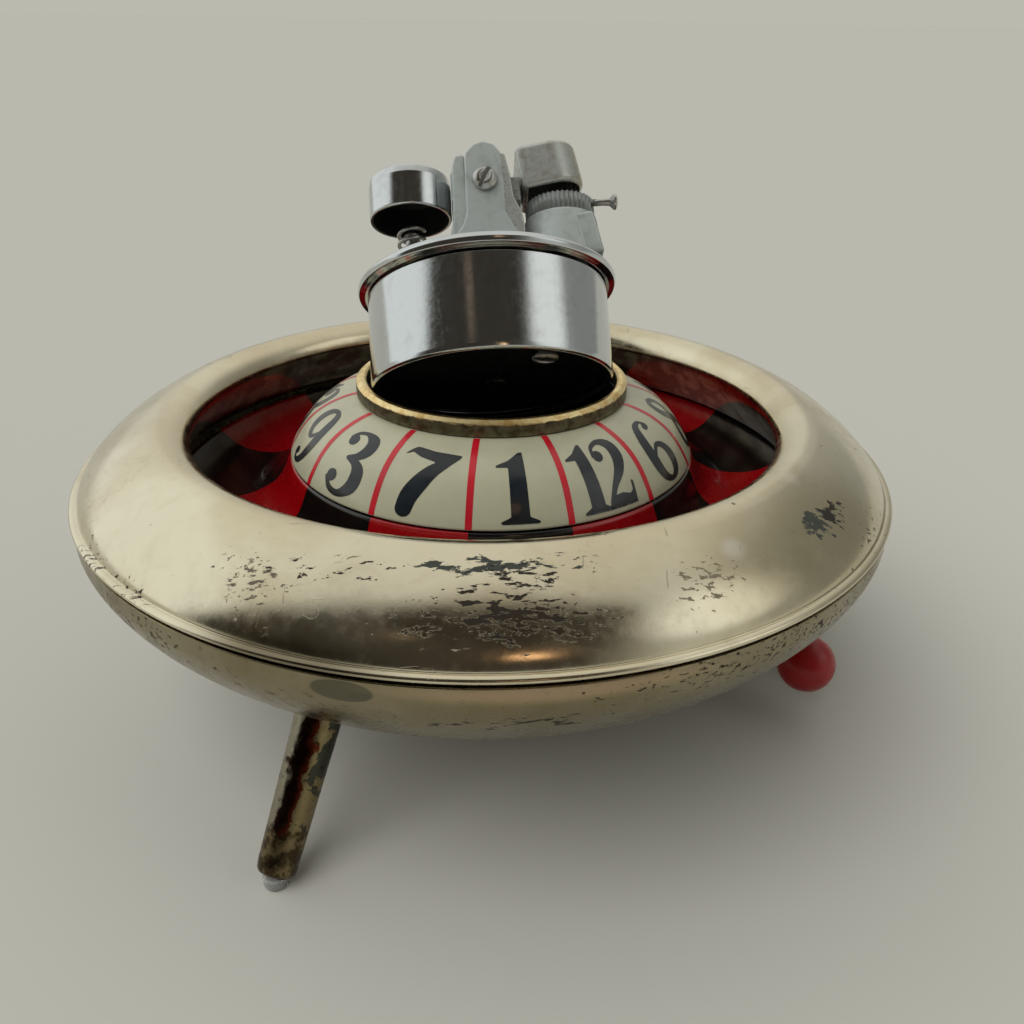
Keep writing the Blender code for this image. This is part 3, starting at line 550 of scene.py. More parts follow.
chrome = chrome_look()
cast = plain_metal("die_cast_metal", (0.41, 0.45, 0.44), 0.42, (0.16, 0.17, 0.16), 0.45, 0.35, 0.02)
cast.set("Metallic", 0.45)
cast_dark = plain_metal("knurl_metal", (0.3, 0.32, 0.31), 0.4, (0.12, 0.12, 0.11), 0.45, 0.5, 0.02)
cast_dark.set("Metallic", 0.7)
# painted shade: the inside of the chrome thumb cap is made near black to stand for the shade within it
cap_inside_shade = Look("cap_inside_shade", (0.02, 0.02, 0.02), 0.3, 0.6)


def tarnished_look():
    look = Look("tarnished_plate", metallic=1)
    x = look.axis(0)
    warm = look.span(look.plus(x, look.times(look.noise(0.5, 5), 3)), 9, 14.5)
    base = look.mix(warm, (0.42, 0.44, 0.41), (0.4, 0.29, 0.12))
    low = look.span(look.noise(0.3, 4, 0.6, 0.4), 0.52, 0.75, 0, 0.45)
    look.set("Base Color", look.mix(low, base, (0.2, 0.11, 0.04)))
    look.set("Roughness", look.span(look.noise(1, 5), 0.3, 0.7, 0.2, 0.38))
    look.set("Metallic", look.blend(warm, 0.6, 0.95))
    look.set("Normal", look.bump(look.noise(2, 4), 0.012, 0.4))
    return look


tarnish = tarnished_look()


def leg_look():
    """Plated leg: a pale edge, red-brown bands and tan patches by place round it, partly patina and partly
    painted reflection, and a dark foot.
    """
    look = Look("leg_patina_and_painted_reflection", metallic=1)
    # painted reflection: these bands follow the side of the leg, part patina and part standing in for
    # reflected light and dark
    across = look.plus(look.times(look.axis(0), -0.167), look.times(look.axis(1), 0.302))
    ragged = look.times(look.less(look.noise(0.32, 5, 0.6, 0.3), 0.5), 1.5)
    across = look.plus(across, ragged)
    tint = look.mix(look.span(across, -0.72, -0.52), (0.3, 0.27, 0.2), (0.022, 0.008, 0.006))
    tint = look.mix(look.span(across, -0.22, 0.02), tint, (0.11, 0.020, 0.008))
    tint = look.mix(look.span(across, 0.12, 0.26), tint, (0.25, 0.2, 0.105))
    moss = look.noise(0.24, 6, 0.65, 0.4, look.stretch((1, 1, 1), shift=(9, 3, 7)))
    moss = look.plus(moss, look.span(across, 0, 0.9, -0.06, 0.1))
    tint = look.mix(look.span(moss, 0.555, 0.575), tint, (0.060, 0.062, 0.046))
    low = look.plus(look.axis(2), look.times(ragged, 5))
    brown = look.mix(look.span(look.noise(0.45, 6, 0.65), 0.46, 0.58), (0.060, 0.042, 0.022),
        (0.22, 0.17, 0.09))
    tint = look.mix(look.span(low, 8, 9.5, 1, 0), tint, brown)
    black = look.span(look.noise(1.1, 7, 0.7, 0.3), 0.6, 0.64)
    tint = look.mix(look.times(black, 0.8), tint, (0.016, 0.010, 0.007))
    look.set("Base Color", tint)
    look.set("Roughness", look.span(look.noise(0.5, 5), 0.3, 0.7, 0.2, 0.44))
    look.set("Normal", look.bump(look.noise(0.9, 6, 0.65), 0.06, 0.5))
    return look


leg_metal = leg_look()
red_plastic = enamel("ball_red", (0.34, 0.001, 0.002), coat=0.06, rough=0.34, speck=(0.2, 0.02, 0.01),
    vary=0.12)
clear = Look("clear_glide", (0.85, 0.86, 0.84), 0, 0.18, Transmission_Weight=0.75, IOR=1.46)
clear.set("Roughness", clear.span(clear.noise(1.2, 4), 0.3, 0.7, 0.12, 0.32))
black_metal = enamel("black_base", (0.012, 0.012, 0.012), coat=0.3, rough=0.34, vary=0.3)


def matt(name, colour, other, rough, cloud, fine, depth, strength):
    """Matt stuff in two mixed colours, such as cotton or rubber."""
    look = Look(name, colour, 0, rough)
    look.set("Base Color", look.mix(look.span(look.noise(cloud, 5), 0.4, 0.7), colour, other))
    look.set("Normal", look.bump(look.noise(fine, 4), depth, strength))
    return look


cotton = matt("cotton_wick", (0.7, 0.66, 0.56), (0.16, 0.12, 0.09), 0.95, 2, 5, 0.1, 0.8)
rubber = matt("black_pad", (0.015, 0.015, 0.015), (0.05, 0.045, 0.04), 0.75, 1, 3, 0.03, 0.5)

CARRIED = (
    (steel, ("spindle", "spindle_nut", "lever_spring", "wheel_web", "ratchet_wheel", "lever_plate",
             "leg_screw_1", "leg_screw_2", "leg_screw_3", "wick_tube", "flint_spring", "pivot_nut")),
    (brass, ("spacer_sleeve", "wheel_bush", "drive_pawl", "flint_tube")),
    (cotton, ("tank_packing", "wick")),
    (dark_steel, ("flint",)),
    (rubber, ("snuffer_pad",)),
)
for look, names in CARRIED:
    for name in names:
        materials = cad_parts[name].data.materials
        materials.clear()
        materials.append(look.material)

# ---- saucer

SIDE = (61.4, 41.9)
CROWN = (46, 52)
CROWN_POWER = 1.43
SKIN = 0.9
crown_out = superquarter(SIDE, CROWN, CROWN_POWER, 30, 65)[::-1]
bead = [(61.6, 41.95), (62.15, 41.9), (62.42, 41.68), (62.5, 41.45), (62.42, 41.22), (62.15, 41),
    (61.5, 40.92), (60.6, 40.95)]
crown_in = superquarter((SIDE[0] - SKIN, SIDE[1] - SKIN), (CROWN[0], CROWN[1] - SKIN), CROWN_POWER, 16,
    65)[1:]
wall = spline([(49, 50.05), (47.9, 49.9), (46.7, 49.2), (46.05, 47.9), (46.4, 46.2), (47.9, 43.6),
    (50.3, 40.1)], 4)
wall += [(50.9, 39.75), (50.8, 39.5), (50.5, 39.4), (50.2, 39.45)]
wall += spline([(49.9, 39.7), (48.4, 41.6), (46.7, 43.9), (45.5, 46), (45.05, 47.4), (45.1, 48.3),
    (45.6, 49.25), (46.3, 49.98), (47.1, 50.52), (48, 50.88), (49, 51), (50.1, 50.8)], 5)[:-2]


def unevenness(p):
    """Slight hand-spun unevenness of the old sheet."""
    n = noise.noise(p * 0.045) * 0.1 + noise.noise(p * 0.11) * 0.035
    return p * (1 + n / p.length)


crown_profile = crown_out + bead + crown_in + wall
turned("shell_crown", crown_profile, 256, nickel, "base", "upper_shell", "nickel_shell", closed=True,
    move=unevenness)

BOWL_POWER = 4 / 3
band = [(62.2, 40.6), (62.2, 40.3), (62.2, 39.2)] + superquarter((62.2, 38.3), (32.7, 17.3), BOWL_POWER, 40)
inside = superquarter((61.3, 38.5), (32.7, 18.2), BOWL_POWER, 24)[::-1]
bowl_profile = [(0, 18.2)] + inside + [(61.3, 40.6)] + band + [(0, 17.3)]
bowl = turned("shell_bowl", bowl_profile, 192, nickel_low, "base", "lower_shell", "nickel_shell")
slot_line = arc(35.5, -68.3, -10.3, 30, (1.1, 0)) + arc(45.4, -10.3, -68.3, 30, (1.1, 0))
cut(bowl, prism("slot_tool", [slot_line], 14, 27, bevel=0))
cut(bowl, lathe("tail_tool", [(0, 20), (2.3, 20), (2.3, 14), (0, 14)], 32), AXIS_AT)

# ---- legs

LEG_LEAN = radians(32.2)
LEG_FOOT = 58.7
PEG = [(0, 2.2), (1.9, 2.2), (2.4, 2.4), (2.66, 2.85), (2.74, 3.8), (2.82, 8), (3, 16), (3.18, 22),
    (3.33, 29), (3.33, 31), (0, 31)]
BOWL_FACE = superquarter((62.4, 38), (32.9, 17), BOWL_POWER, 30)
GLIDE = fillet([(0, 0), (1.4, 0, 0.3), (1.7, 0.5, 0.3), (1.7, 2, 0.2), (0, 2.2)])
GLIDE_AT = LEG_FOOT - 2.2 * sin(LEG_LEAN)
for index, bearing in enumerate((-119, 1, 121), 1):
    angle = radians(bearing)
    foot = Vector((cos(angle), sin(angle), 0)) * LEG_FOOT * MM
    stand = Matrix.Translation(foot) @ Matrix.Rotation(angle, 4, "Z") @ Matrix.Rotation(-LEG_LEAN, 4, "Y")
    leg = place(f"leg_peg_{index}", lathe(f"leg_{index}_mesh", fillet(PEG), 48), leg_metal, "base",
        at=stand, node=f"leg_{index}")
    cut(leg, lathe("bowl_tool", [(0, 60), (66, 60), (66, 38)] + BOWL_FACE + [(0, 17)], 96))
    glide = turned(f"glide_{index}", GLIDE, 32, clear, "base", f"leg_glide_{index}", "clear_plastic",
        shift(GLIDE_AT * cos(angle), GLIDE_AT * sin(angle), 0))
    cut(glide, lathe("trim", [(0, 1.95), (9, 1.95), (9, 20), (0, 20)], 24), stand)

# ---- socket

collar = fillet([(19.4, 54.75, 0.25), (19.75, 55, 0.25), (20.35, 55, 0.4), (20.98, 54.45, 0.3),
    (21, 52.6, 0.2), (19.4, 52.6, 0.1)], closed=True)
turned("collar_ring", collar, 160, collar_metal, "base", "socket_collar", "brass", AXIS_AT, closed=True)
well = fillet([(0, 37.4), (19.4, 37.4, 1.2), (19.4, 52.3, 0.1), (20.1, 52.3, 0.1), (20.1, 36.4, 1.2),
    (0, 36.4)])
well_look = enamel("socket_black", (0.010, 0.010, 0.009), coat=0.3, rough=0.4, vary=0.3)
turned("well_cup", well, 96, well_look, "base", "socket_well", "steel_dark", AXIS_AT)

# ---- wheel

SECTORS = 14
START = radians(-96)
DOME = [(20.4, 52.45), (21.5, 52.35), (22.6, 52.05), (24, 51.55), (25.4, 50.9), (26.7, 50.1), (27.9, 49.15),
    (29, 48), (29.9, 46.8), (30.65, 45.6), (31.2, 44.6), (31.6, 43.65)]
dome_line = spline(DOME, 4)


def dome_spot(along, angle, lift=0):
    """Point on the dome: along is the distance down the section from its top edge."""
    walked = 0
    for a, b in zip(dome_line, dome_line[1:]):
        step = dist(a, b)
        if walked + step >= along:
            t = (along - walked) / step
            r = a[0] + (b[0] - a[0]) * t
            z = a[1] + (b[1] - a[1]) * t
            nr, nz = -(b[1] - a[1]) / step, (b[0] - a[0]) / step
            return Vector(((r + nr * lift) * cos(angle), (r + nr * lift) * sin(angle), z + nz * lift))
        walked += step
    r, z = dome_line[-1]
    return Vector(((r + lift) * cos(angle), (r + lift) * sin(angle), z))


DOME_LENGTH = sum(dist(a, b) for a, b in zip(dome_line, dome_line[1:]))


def dome_radius(along):
    return dome_spot(along, 0).x


dome_under = [(31.45, 43.45), (30.9, 43.3), (30.2, 44.9), (28.9, 46.9), (27.1, 48.7), (24.8, 50.2),
    (22.4, 51.2), (20.4, 51.6)]
turned("dome_shell", dome_line + dome_under, 192, cream, "wheel", "number_dome", "cream_enamel", AXIS_AT,
    closed=True)

tray_top = spline([(31.45, 43.3), (31.85, 43), (32.35, 41.9), (33.3, 39.9), (34.7, 38.3), (36.4, 37.3),
    (38.4, 36.45), (40.5, 36), (42.8, 35.85), (45, 36), (46.8, 36.55), (48.4, 37.4), (50.4, 38.9)], 4)
tray_under = [(51, 38.4), (48.8, 36.6), (45.1, 35.2), (40.4, 35.2), (36, 36.5), (32.8, 39), (31.4, 41.9)]
TRAY_STEPS = 14 * SECTORS


def tray_slot(row, step):
    return (step * SECTORS // TRAY_STEPS) % 2


turned("tray_ring", tray_top + tray_under, TRAY_STEPS, [tray_black, tray_red], "wheel", "pocket_tray",
    "pocket_red", AXIS_AT, closed=True, start=START, slot_of=tray_slot)


LINE_ROWS = 24
LINE_WIDTH = 0.95
LINE_LIFT = 0.035


def dome_strip(shape, angle, first, last):
    """Thin painted line down the dome."""
    rings = []
    for i in range(LINE_ROWS + 1):
        along = first + (last - first) * i / LINE_ROWS
        half = LINE_WIDTH / 2 / dome_radius(along)
        rings.append([shape.verts.new(dome_spot(along, angle + side * half, LINE_LIFT) * MM)
            for side in (-1, 0, 1)])
    for a, b in zip(rings, rings[1:]):
        for k in range(2):
            shape.faces.new((a[k], b[k], b[k + 1], a[k + 1]))


lines = bmesh.new()
for i in range(SECTORS):
    dome_strip(lines, START + TAU * i / SECTORS, 0.6, DOME_LENGTH - 0.02)
place("dome_lines", to_mesh("dome_lines", lines), red_line, "wheel", at=AXIS_AT)

# Numerals, in thousandths of their height: "s" is a stroke of (x, y, half width) along a smooth line, and "p"
# is a filled outline.
GLYPHS = {
    "0": [("s", [(0, 965, 35), (-170, 860, 70), (-235, 500, 95), (-170, 140, 70), (0, 35, 35),
            (170, 140, 70), (235, 500, 95), (170, 860, 70), (0, 965, 35)])],
    "1": [("p", [(-115, 0), (-110, 760), (-270, 760), (-270, 790), (-100, 870), (50, 1000), (100, 1000),
            (115, 0)]),
          ("p", [(-240, 0), (-240, 30), (-115, 90), (115, 90), (240, 30), (240, 0)])],
    "2": [("s", [(-170, 745, 85), (-160, 750, 85)]),
          ("s", [(-245, 760, 25), (-190, 900, 30), (-20, 965, 45), (140, 880, 90), (175, 700, 105),
            (90, 500, 85), (-80, 310, 50), (-200, 130, 35), (-235, 50, 30)]),
          ("p", [(-270, 0), (-260, 60), (-150, 170), (0, 180), (140, 140), (200, 170), (215, 300),
            (255, 300), (240, 0)])],
    "3": [("s", [(-200, 800, 85), (-190, 800, 85)]),
          ("s", [(-275, 830, 25), (-200, 930, 30), (-30, 965, 40), (140, 880, 90), (170, 730, 100),
            (70, 600, 60), (-80, 545, 28)]),
          ("s", [(-80, 545, 28), (100, 500, 60), (205, 380, 100), (190, 190, 100), (20, 50, 50),
            (-170, 70, 40), (-290, 190, 30)]),
          ("s", [(-215, 235, 85), (-200, 240, 85)])],
    "4": [("p", [(30, 1000), (120, 1000), (120, 0), (-30, 0), (-30, 740), (-220, 360), (260, 360),
            (260, 260), (-300, 260), (-300, 340)]),
          ("p", [(-120, 0), (-120, 45), (210, 45), (210, 0)])],
    "5": [("p", [(-170, 1000), (190, 1000), (160, 850), (-140, 850), (-155, 550), (-200, 520)]),
          ("s", [(-160, 540, 30), (-20, 620, 35), (140, 540, 80), (180, 340, 100), (100, 120, 80),
            (-60, 40, 40), (-200, 120, 35)]),
          ("s", [(-180, 190, 70), (-150, 200, 70)])],
    "6": [("s", [(160, 860, 55), (120, 840, 50)]),
          ("s", [(190, 880, 30), (100, 965, 30), (-70, 900, 60), (-200, 660, 90), (-225, 360, 95),
            (-160, 130, 70), (0, 35, 35), (160, 120, 70), (205, 300, 85), (140, 480, 60), (0, 550, 35),
            (-150, 440, 30)])],
    "7": [("p", [(-400, 845), (-320, 950), (-260, 1000), (-190, 1000), (0, 965), (200, 950), (400, 930),
            (385, 890), (240, 780), (70, 790), (-170, 845), (-290, 905)]),
          ("s", [(360, 900, 30), (210, 790, 70), (50, 640, 100), (-70, 460, 120), (-165, 280, 120),
            (-205, 110, 110)])],
    "8": [("s", [(0, 970, 35), (-140, 900, 60), (-170, 750, 75), (-60, 590, 75), (100, 460, 85),
            (190, 270, 85), (130, 90, 55), (0, 35, 40), (-150, 100, 60), (-190, 260, 70), (-100, 430, 50),
            (60, 570, 45), (150, 740, 60), (120, 890, 55), (0, 970, 35)])],
}
for character, parts in GLYPHS.items():
    GLYPHS[character] = [(kind, [tuple(v / 1000 for v in p) for p in points]) for kind, points in parts]
GLYPHS["9"] = [(kind, [(-p[0], 1 - p[1], *p[2:]) for p in points]) for kind, points in GLYPHS["6"]]
GLYPH_WIDTH = {"1": 0.4, "7": 0.8}
PLAIN_WIDTH = 0.52
CELL = 0.02
LEFT, FOOT = -0.46, -0.06       # the corner of the grid that a numeral is sampled on
FAR = 9


def to_segment(x, y, ax, ay, bx, by):
    """Distance from a point to a segment, and how far along the segment the nearest point is."""
    dx, dy = bx - ax, by - ay
    t = max(0, min(1, ((x - ax) * dx + (y - ay) * dy) / max(dx * dx + dy * dy, 1e-9)))
    return hypot(x - ax - t * dx, y - ay - t * dy), t


def glyph_distance(parts, x, y):
    """Distance from a point to a numeral's edge, negative inside."""
    best = FAR
    for kind, points in parts:
        if kind == "s":
            for (ax, ay, ar), (bx, by, br) in zip(points, points[1:]):
                away, t = to_segment(x, y, ax, ay, bx, by)
                best = min(best, away - (ar + t * (br - ar)))
        else:
            inside = False
            away = FAR
            for (ax, ay), (bx, by) in zip(points, points[1:] + points[:1]):
                away = min(away, to_segment(x, y, ax, ay, bx, by)[0])
                if (ay > y) != (by > y) and x < ax + (y - ay) / (by - ay) * (bx - ax):
                    inside = not inside
            best = min(best, -away if inside else away)
    return best


def glyph_cells(character):
    """Filled cells of a numeral, as polygons with shared corners, in glyph units."""
    parts = []
    for kind, points in GLYPHS[character]:
        parts.append((kind, spline(points, 5) if kind == "s" and len(points) > 2 else points))
    nx, ny = int(0.92 / CELL), int(1.12 / CELL)
    field = [[glyph_distance(parts, LEFT + i * CELL, FOOT + j * CELL) for j in range(ny + 1)]
        for i in range(nx + 1)]
    polygons = []
    for i in range(nx):
        for j in range(ny):
            corners = [(i, j), (i + 1, j), (i + 1, j + 1), (i, j + 1)]
            values = [field[a][b] for a, b in corners]
            if min(values) >= 0:
                continue
            line = []
            for k in range(4):
                a, b = corners[k], corners[(k + 1) % 4]
                va, vb = values[k], values[(k + 1) % 4]
                if va < 0:
                    line.append((a, (LEFT + a[0] * CELL, FOOT + a[1] * CELL)))
                if (va < 0) != (vb < 0):
                    t = va / (va - vb)
                    x, y = a[0] + (b[0] - a[0]) * t, a[1] + (b[1] - a[1]) * t
                    line.append(((min(a, b), max(a, b)), (LEFT + x * CELL, FOOT + y * CELL)))
            if len(line) > 2:
                polygons.append(line)
    return polygons


NUMBER_HEIGHT = 10.5
NUMBER_FOOT = 0.75
ORDER = ["9", "3", "7", "1", "12", "6", "8", "14", "4", "11", "2", "10", "5", "13"]
FIRST_CENTRE = START - 2.5 * TAU / SECTORS
CACHE = {c: glyph_cells(c) for c in "0123456789"}


def number_mesh(name, text, angle):
    """A number laid on the dome, a little wider at its foot."""
    shape = bmesh.new()
    widths = [GLYPH_WIDTH.get(c, PLAIN_WIDTH) for c in text]
    scale_x = NUMBER_HEIGHT * (0.9 if len(text) > 1 else 1.04)
    left = -sum(widths) / 2
    for c, width in zip(text, widths):
        centre = left + width / 2
        left += width
        known = {}
        for line in CACHE[c]:
            corners = []
            for key, (x, y) in line:
                if key not in known:
                    along = DOME_LENGTH - NUMBER_FOOT - y * NUMBER_HEIGHT
                    turn = (centre + x) * scale_x / (0.55 * dome_radius(along) + 0.45 * 29)
                    known[key] = shape.verts.new(dome_spot(along, angle + turn, 0.05) * MM)
                if known[key] not in corners:
                    corners.append(known[key])
            if len(corners) > 2:
                shape.faces.new(corners)
    mesh = bpy.data.meshes.new(name)
    shape.to_mesh(mesh)
    shape.free()
    return mesh


for i, text in enumerate(ORDER):
    centre = FIRST_CENTRE + TAU * i / SECTORS
    place(f"number_{text}", number_mesh(f"number_{text}", text, centre), ink, "wheel", at=AXIS_AT)

# ---- lever

LEVER = radians(-14.3)
ROD_HEIGHT = 21.8
BALL_R = 4.75
knee = Vector((35, 0, ROD_HEIGHT))
ball = Vector((53.7, 0, 9.5))
way = (ball - knee).normalized()
turn = AXIS_AT @ Matrix.Rotation(LEVER, 4, "Z")
rod_path = spline([(22, 0, ROD_HEIGHT), (28, 0, ROD_HEIGHT), tuple(knee + Vector((-3, 0, 0))),
    tuple(knee + Vector((-1.4, 0, -0.1))), tuple(knee + way * 1.2), tuple(knee + way * 3),
    tuple(knee + way * 12), tuple(ball - way)], 5)
place("lever_wire", wire("lever_wire", rod_path, 1.3, 16), steel, "lever", at=turn, node="lever_rod")
aim = Vector((0, 0, 1)).rotation_difference(-way)
knob_at = turn @ Matrix.Translation(ball * MM) @ aim.to_matrix().to_4x4()
bore = 1.6
first = degrees(acos(bore / BALL_R))


def seam(p):
    """Fine raised mould line round the ball."""
    off = abs(p.x) / 0.16
    return p * (1 + 0.012 * exp(-off * off)) if p.length > 4 else p


ball_line = [(0, -1.6), (bore, -1.6), (bore, 3.9)] + arc(4.7, first, -90, 40)[:-1] + [(0, -4.7)]
turned("ball_grip", ball_line, 96, red_plastic, "lever", "ball_knob", "red_plastic", knob_at, move=seam)
foot_z = BALL_R * sin(radians(first)) + 0.1
ferrule = fillet([(1.35, foot_z + 3.4, 0.1), (2, foot_z + 3.4, 0.3), (2.7, foot_z, 0.3),
    (1.35, foot_z, 0.1)], closed=True)
turned("ferrule_cone", ferrule, 40, dark_steel, "lever", "knob_ferrule", "steel_dark", knob_at, closed=True)

# ---- insert

INSERT = (shift(1.2, -5.4, 54.5) @ Matrix.Rotation(-radians(35.9), 4, "X") @ Matrix.Rotation(radians(-3.2),
    4, "Y"))
R = 18.2
cup = fillet([(R - 0.75, 13.9), (R, 13.9, 0.1), (R, 0.9, 0.5), (R - 0.05, 0.35, 0.15), (R - 0.35, 0, 0.25),
    (R - 1, 0.05, 0.3), (R - 1.35, 0.7, 0.2), (R - 1.2, 1, 0.1), (R - 0.75, 1, 0.1)], closed=True)
turned("cup_wall", cup, 160, chrome, "insert", "tank_cup", "chrome", INSERT, closed=True)
base_line = fillet([(0, 1.2), (15.2, 1.2, 0.2), (16.2, 0.9, 0.2), (17.1, 0.9, 0.2), (17.2, 1.9, 0.2),
    (0, 1.9)])
turned("cup_base", base_line, 96, black_metal, "insert", "tank_base", "black_steel", INSERT)


BLADE = [(-3, -0.28), (3, -0.28), (3, 0.28), (-3, 0.28)]


def screw_head(name, node, at, look, slotted):
    """Slotted screw seen from below."""
    line = fillet([(0, 4.6), (1.2, 4.6, 0.1), (1.2, 0.9, 0.05), (1.9, 0.9, 0.15), (1.9, 0.35, 0.2),
        (1.5, 0.1, 0.15), (0, 0.05)])
    made = turned(name, line, 40, look, "insert", node, "steel", at)
    cut(made, prism("blade", [BLADE], -1, 0.55, bevel=0), at @ Matrix.Rotation(slotted, 4, "Z"))


screw_head("filler_plug", "filler_screw", INSERT @ shift(7.3, -11.2, 0), steel, 0.4)
screw_head("flint_plug", "flint_screw", INSERT @ shift(0.45, 0, 0), black_metal, 1.1)

flange = fillet([(0, 17.35), (14, 17.35, 0.3), (16.4, 17.25, 0.4), (17.5, 16.95, 0.3), (17.75, 16.6, 0.2),
    (18.3, 16.55, 0.25), (18.75, 16.3, 0.25), (18.9, 15.95, 0.15), (19.35, 15.85, 0.3), (19.7, 15.3, 0.4),
    (19.5, 14.6, 0.3), (18.9, 14.35, 0.2), (18.6, 14.2, 0.1), (17.4, 14.2, 0.1), (17.4, 16, 0.1), (0, 16)])
turned("flange_plate", flange, 160, chrome, "insert", "top_flange", "chrome", INSERT)

PIVOT = Vector((0.45, 0, 30.2))
CHIMNEY_AT = shift(12, 0, 0)


# Frame: foot, ramp and boss, and a cheek with a channel wing and a flange on each side
foot = fillet([(-4.6, -6.2, 1.2), (9, -7.2, 3), (17.5, -4.5, 3.5), (18.3, 0, 2.5), (17.5, 4.5, 3.5),
    (9, 7.2, 3), (-4.6, 6.2, 1.2)], closed=True)
place("works_base", prism("works_base", [foot], 17.45, 19.6, 0.35, 3), cast, "insert", at=INSERT,
    node="mechanism_frame")
ramp_line = fillet([(1, 18.6), (3.2, 19.9, 0.8), (6.5, 21, 2), (10, 22.8, 3), (13.5, 25, 1.5),
    (16.6, 25.4, 0.8), (17.6, 20, 0.8), (17.9, 18.6)], closed=True)
place("works_ramp", prism("works_ramp", [ramp_line], -5.4, 5.4, 0.6, 3, stand=True), cast, "insert",
    at=INSERT)
boss = fillet([(0, 26), (5.6, 26, 0.5), (6, 22, 0.5), (6.3, 18.4, 0.3), (0, 18.4)])
place("works_boss", lathe("works_boss", boss, 64), cast, "insert", at=INSERT @ CHIMNEY_AT)
cheek = fillet([(-4.6, 18.6), (-4.8, 21, 0.6), (-3.2, 23.2, 0.8), (-2.6, 25, 1), (-2.5, 33.4, 0.5),
    (-2.2, 34.8, 0.6), (-1.1, 36, 0.8), (0.4, 36.5, 0.8), (2, 36, 0.8), (2.9, 34.8, 0.6), (3.2, 33.2, 0.5),
    (3.4, 25, 1), (4.6, 22.4, 0.8), (6, 20.8, 0.6), (6, 18.6)], closed=True)
wing = fillet([(-4.9, 20.2), (-5, 22.4, 0.8), (-4.6, 24, 0.8), (-4.4, 33, 1), (-3.9, 34.6, 0.7),
    (-2.5, 34.8, 0.5), (-2.2, 24, 0.4), (-2.2, 20.2)], closed=True)
flange_line = fillet([(2.5, 20), (2.5, 24, 0.4), (2.7, 34.6, 0.4), (3.6, 34.6, 0.6), (4.3, 31, 1),
    (4.7, 27.4, 1.2), (5.7, 25.2, 1), (6.1, 22.4, 0.8), (5.8, 20)], closed=True)
for side, sign in (("front", -1), ("rear", 1)):
    for part, line, near, far, look in (("cheek", cheek, 5.3, 6.7, cast), ("wing", wing, 5.05, 6.1, cast),
            ("flange", flange_line, 5.05, 6.5, tarnish)):
        name = f"{part}_{side}"
        low, high = sorted((sign * near, sign * far))
        place(name, prism(name, [line], low, high, 0.35, 3, stand=True), look, "insert", at=INSERT)

PIVOT_AT = INSERT @ Matrix.Translation(PIVOT * MM) @ Matrix.Rotation(-pi / 2, 4, "X")
shank = fillet([(0, 7.7), (1.15, 7.7, 0.1), (1.15, -6.75), (1.85, -6.75, 0.15), (1.85, -7.4, 0.3),
    (1.25, -8, 0.5), (0, -8.15)])
pivot = turned("pivot_bolt", shank, 40, steel, "insert", "pivot_screw", "steel", PIVOT_AT)
blade_at = PIVOT_AT @ Matrix.Rotation(radians(-62), 4, "Z")
cut(pivot, prism("blade", [BLADE], -9, -7.45, bevel=0), blade_at)

TEETH = 44


def knurled(teeth, outer, depth):
    """Outline with square teeth."""
    line = []
    for i in range(teeth):
        a = TAU * i / teeth
        for k, r in ((0, outer), (0.25, outer), (0.5, outer - depth), (0.75, outer - depth)):
            b = a + TAU * k / teeth
            line.append((r * cos(b), r * sin(b)))
    return line


chimney = prism("chimney_knurl", [knurled(TEETH, 5.35, 0.38), arc(3.9, 0, 352.5, 47)], 25.9, 28.7, 0)
chimney.transform(CHIMNEY_AT)
place("chimney_knurl", chimney, cast_dark, "insert", at=INSERT, node="chimney_collar",
    smooth=False)
pin = fillet([(0, 3.8), (0.7, 3.75, 0.1), (1.2, 3.55, 0.15), (1.2, 3.2, 0.1), (0.6, 2.6, 0.3),
    (0.5, 1.6, 0.3), (0.55, 0), (0, 0)])
stud_at = INSERT @ shift(16.95, -2.5, 27.8) @ Matrix.Rotation(pi / 2, 4, "Y")
turned("side_stud", pin, 32, steel, "insert", "side_pin", "steel", stud_at)
post = fillet([(0, 25.2), (0.8, 25.2, 0.2), (1.3, 24.8, 0.2), (1.3, 24, 0.2), (0.9, 23.8, 0.1),
    (0.9, 17.45), (0, 17.45)])
THUMB = Vector((-11.15, 0, 0))
THUMB_AT = INSERT @ Matrix.Translation(THUMB * MM)
turned("stop_stud", post, 32, steel, "insert", "stop_post", "steel", THUMB_AT)
COIL_TURN = 20
COIL_STEPS = 5 * COIL_TURN
coil = []
for t in range(COIL_STEPS + 1):
    a = t * TAU / COIL_TURN
    coil.append((THUMB.x + 2 * cos(a), 2 * sin(a), 18 + (25.6 - 18) * t / COIL_STEPS))
place("thumb_coil", wire("thumb_coil", coil, 0.3, 8), steel, "insert", at=INSERT, node="thumb_spring")

wheel_mesh = prism("striker", [knurled(30, 3.2, 0.3), arc(1.45, 0, 352.5, 23)], -2.2, 2.2, 0)
place("striker_wheel", wheel_mesh, dark_steel, "striker", at=PIVOT_AT, node="flint_wheel",
    smooth=False)

# Thumb press
cap = fillet([(0, 34.2), (4.2, 34.15, 0.6), (5.6, 34, 0.6), (6.2, 33.4, 0.5), (6.35, 32.4, 0.4),
    (6.35, 27.4, 0.2), (6.2, 27.2, 0.1), (5.85, 27.2, 0.1), (5.8, 27.5, 0.1), (5.8, 32, 0.3),
    (5.2, 33, 0.3), (0, 33.2)])
# faces past the rim take the near-black painted shade inside the cap
CAP_RIM = next(i for i, (r, z) in enumerate(cap) if z < 27.3 and r < 6)
turned("thumb_button", cap, 96, [chrome, cap_inside_shade], "thumb", "thumb_cap", "chrome", THUMB_AT,
    slot_of=lambda row, step: int(row > CAP_RIM))


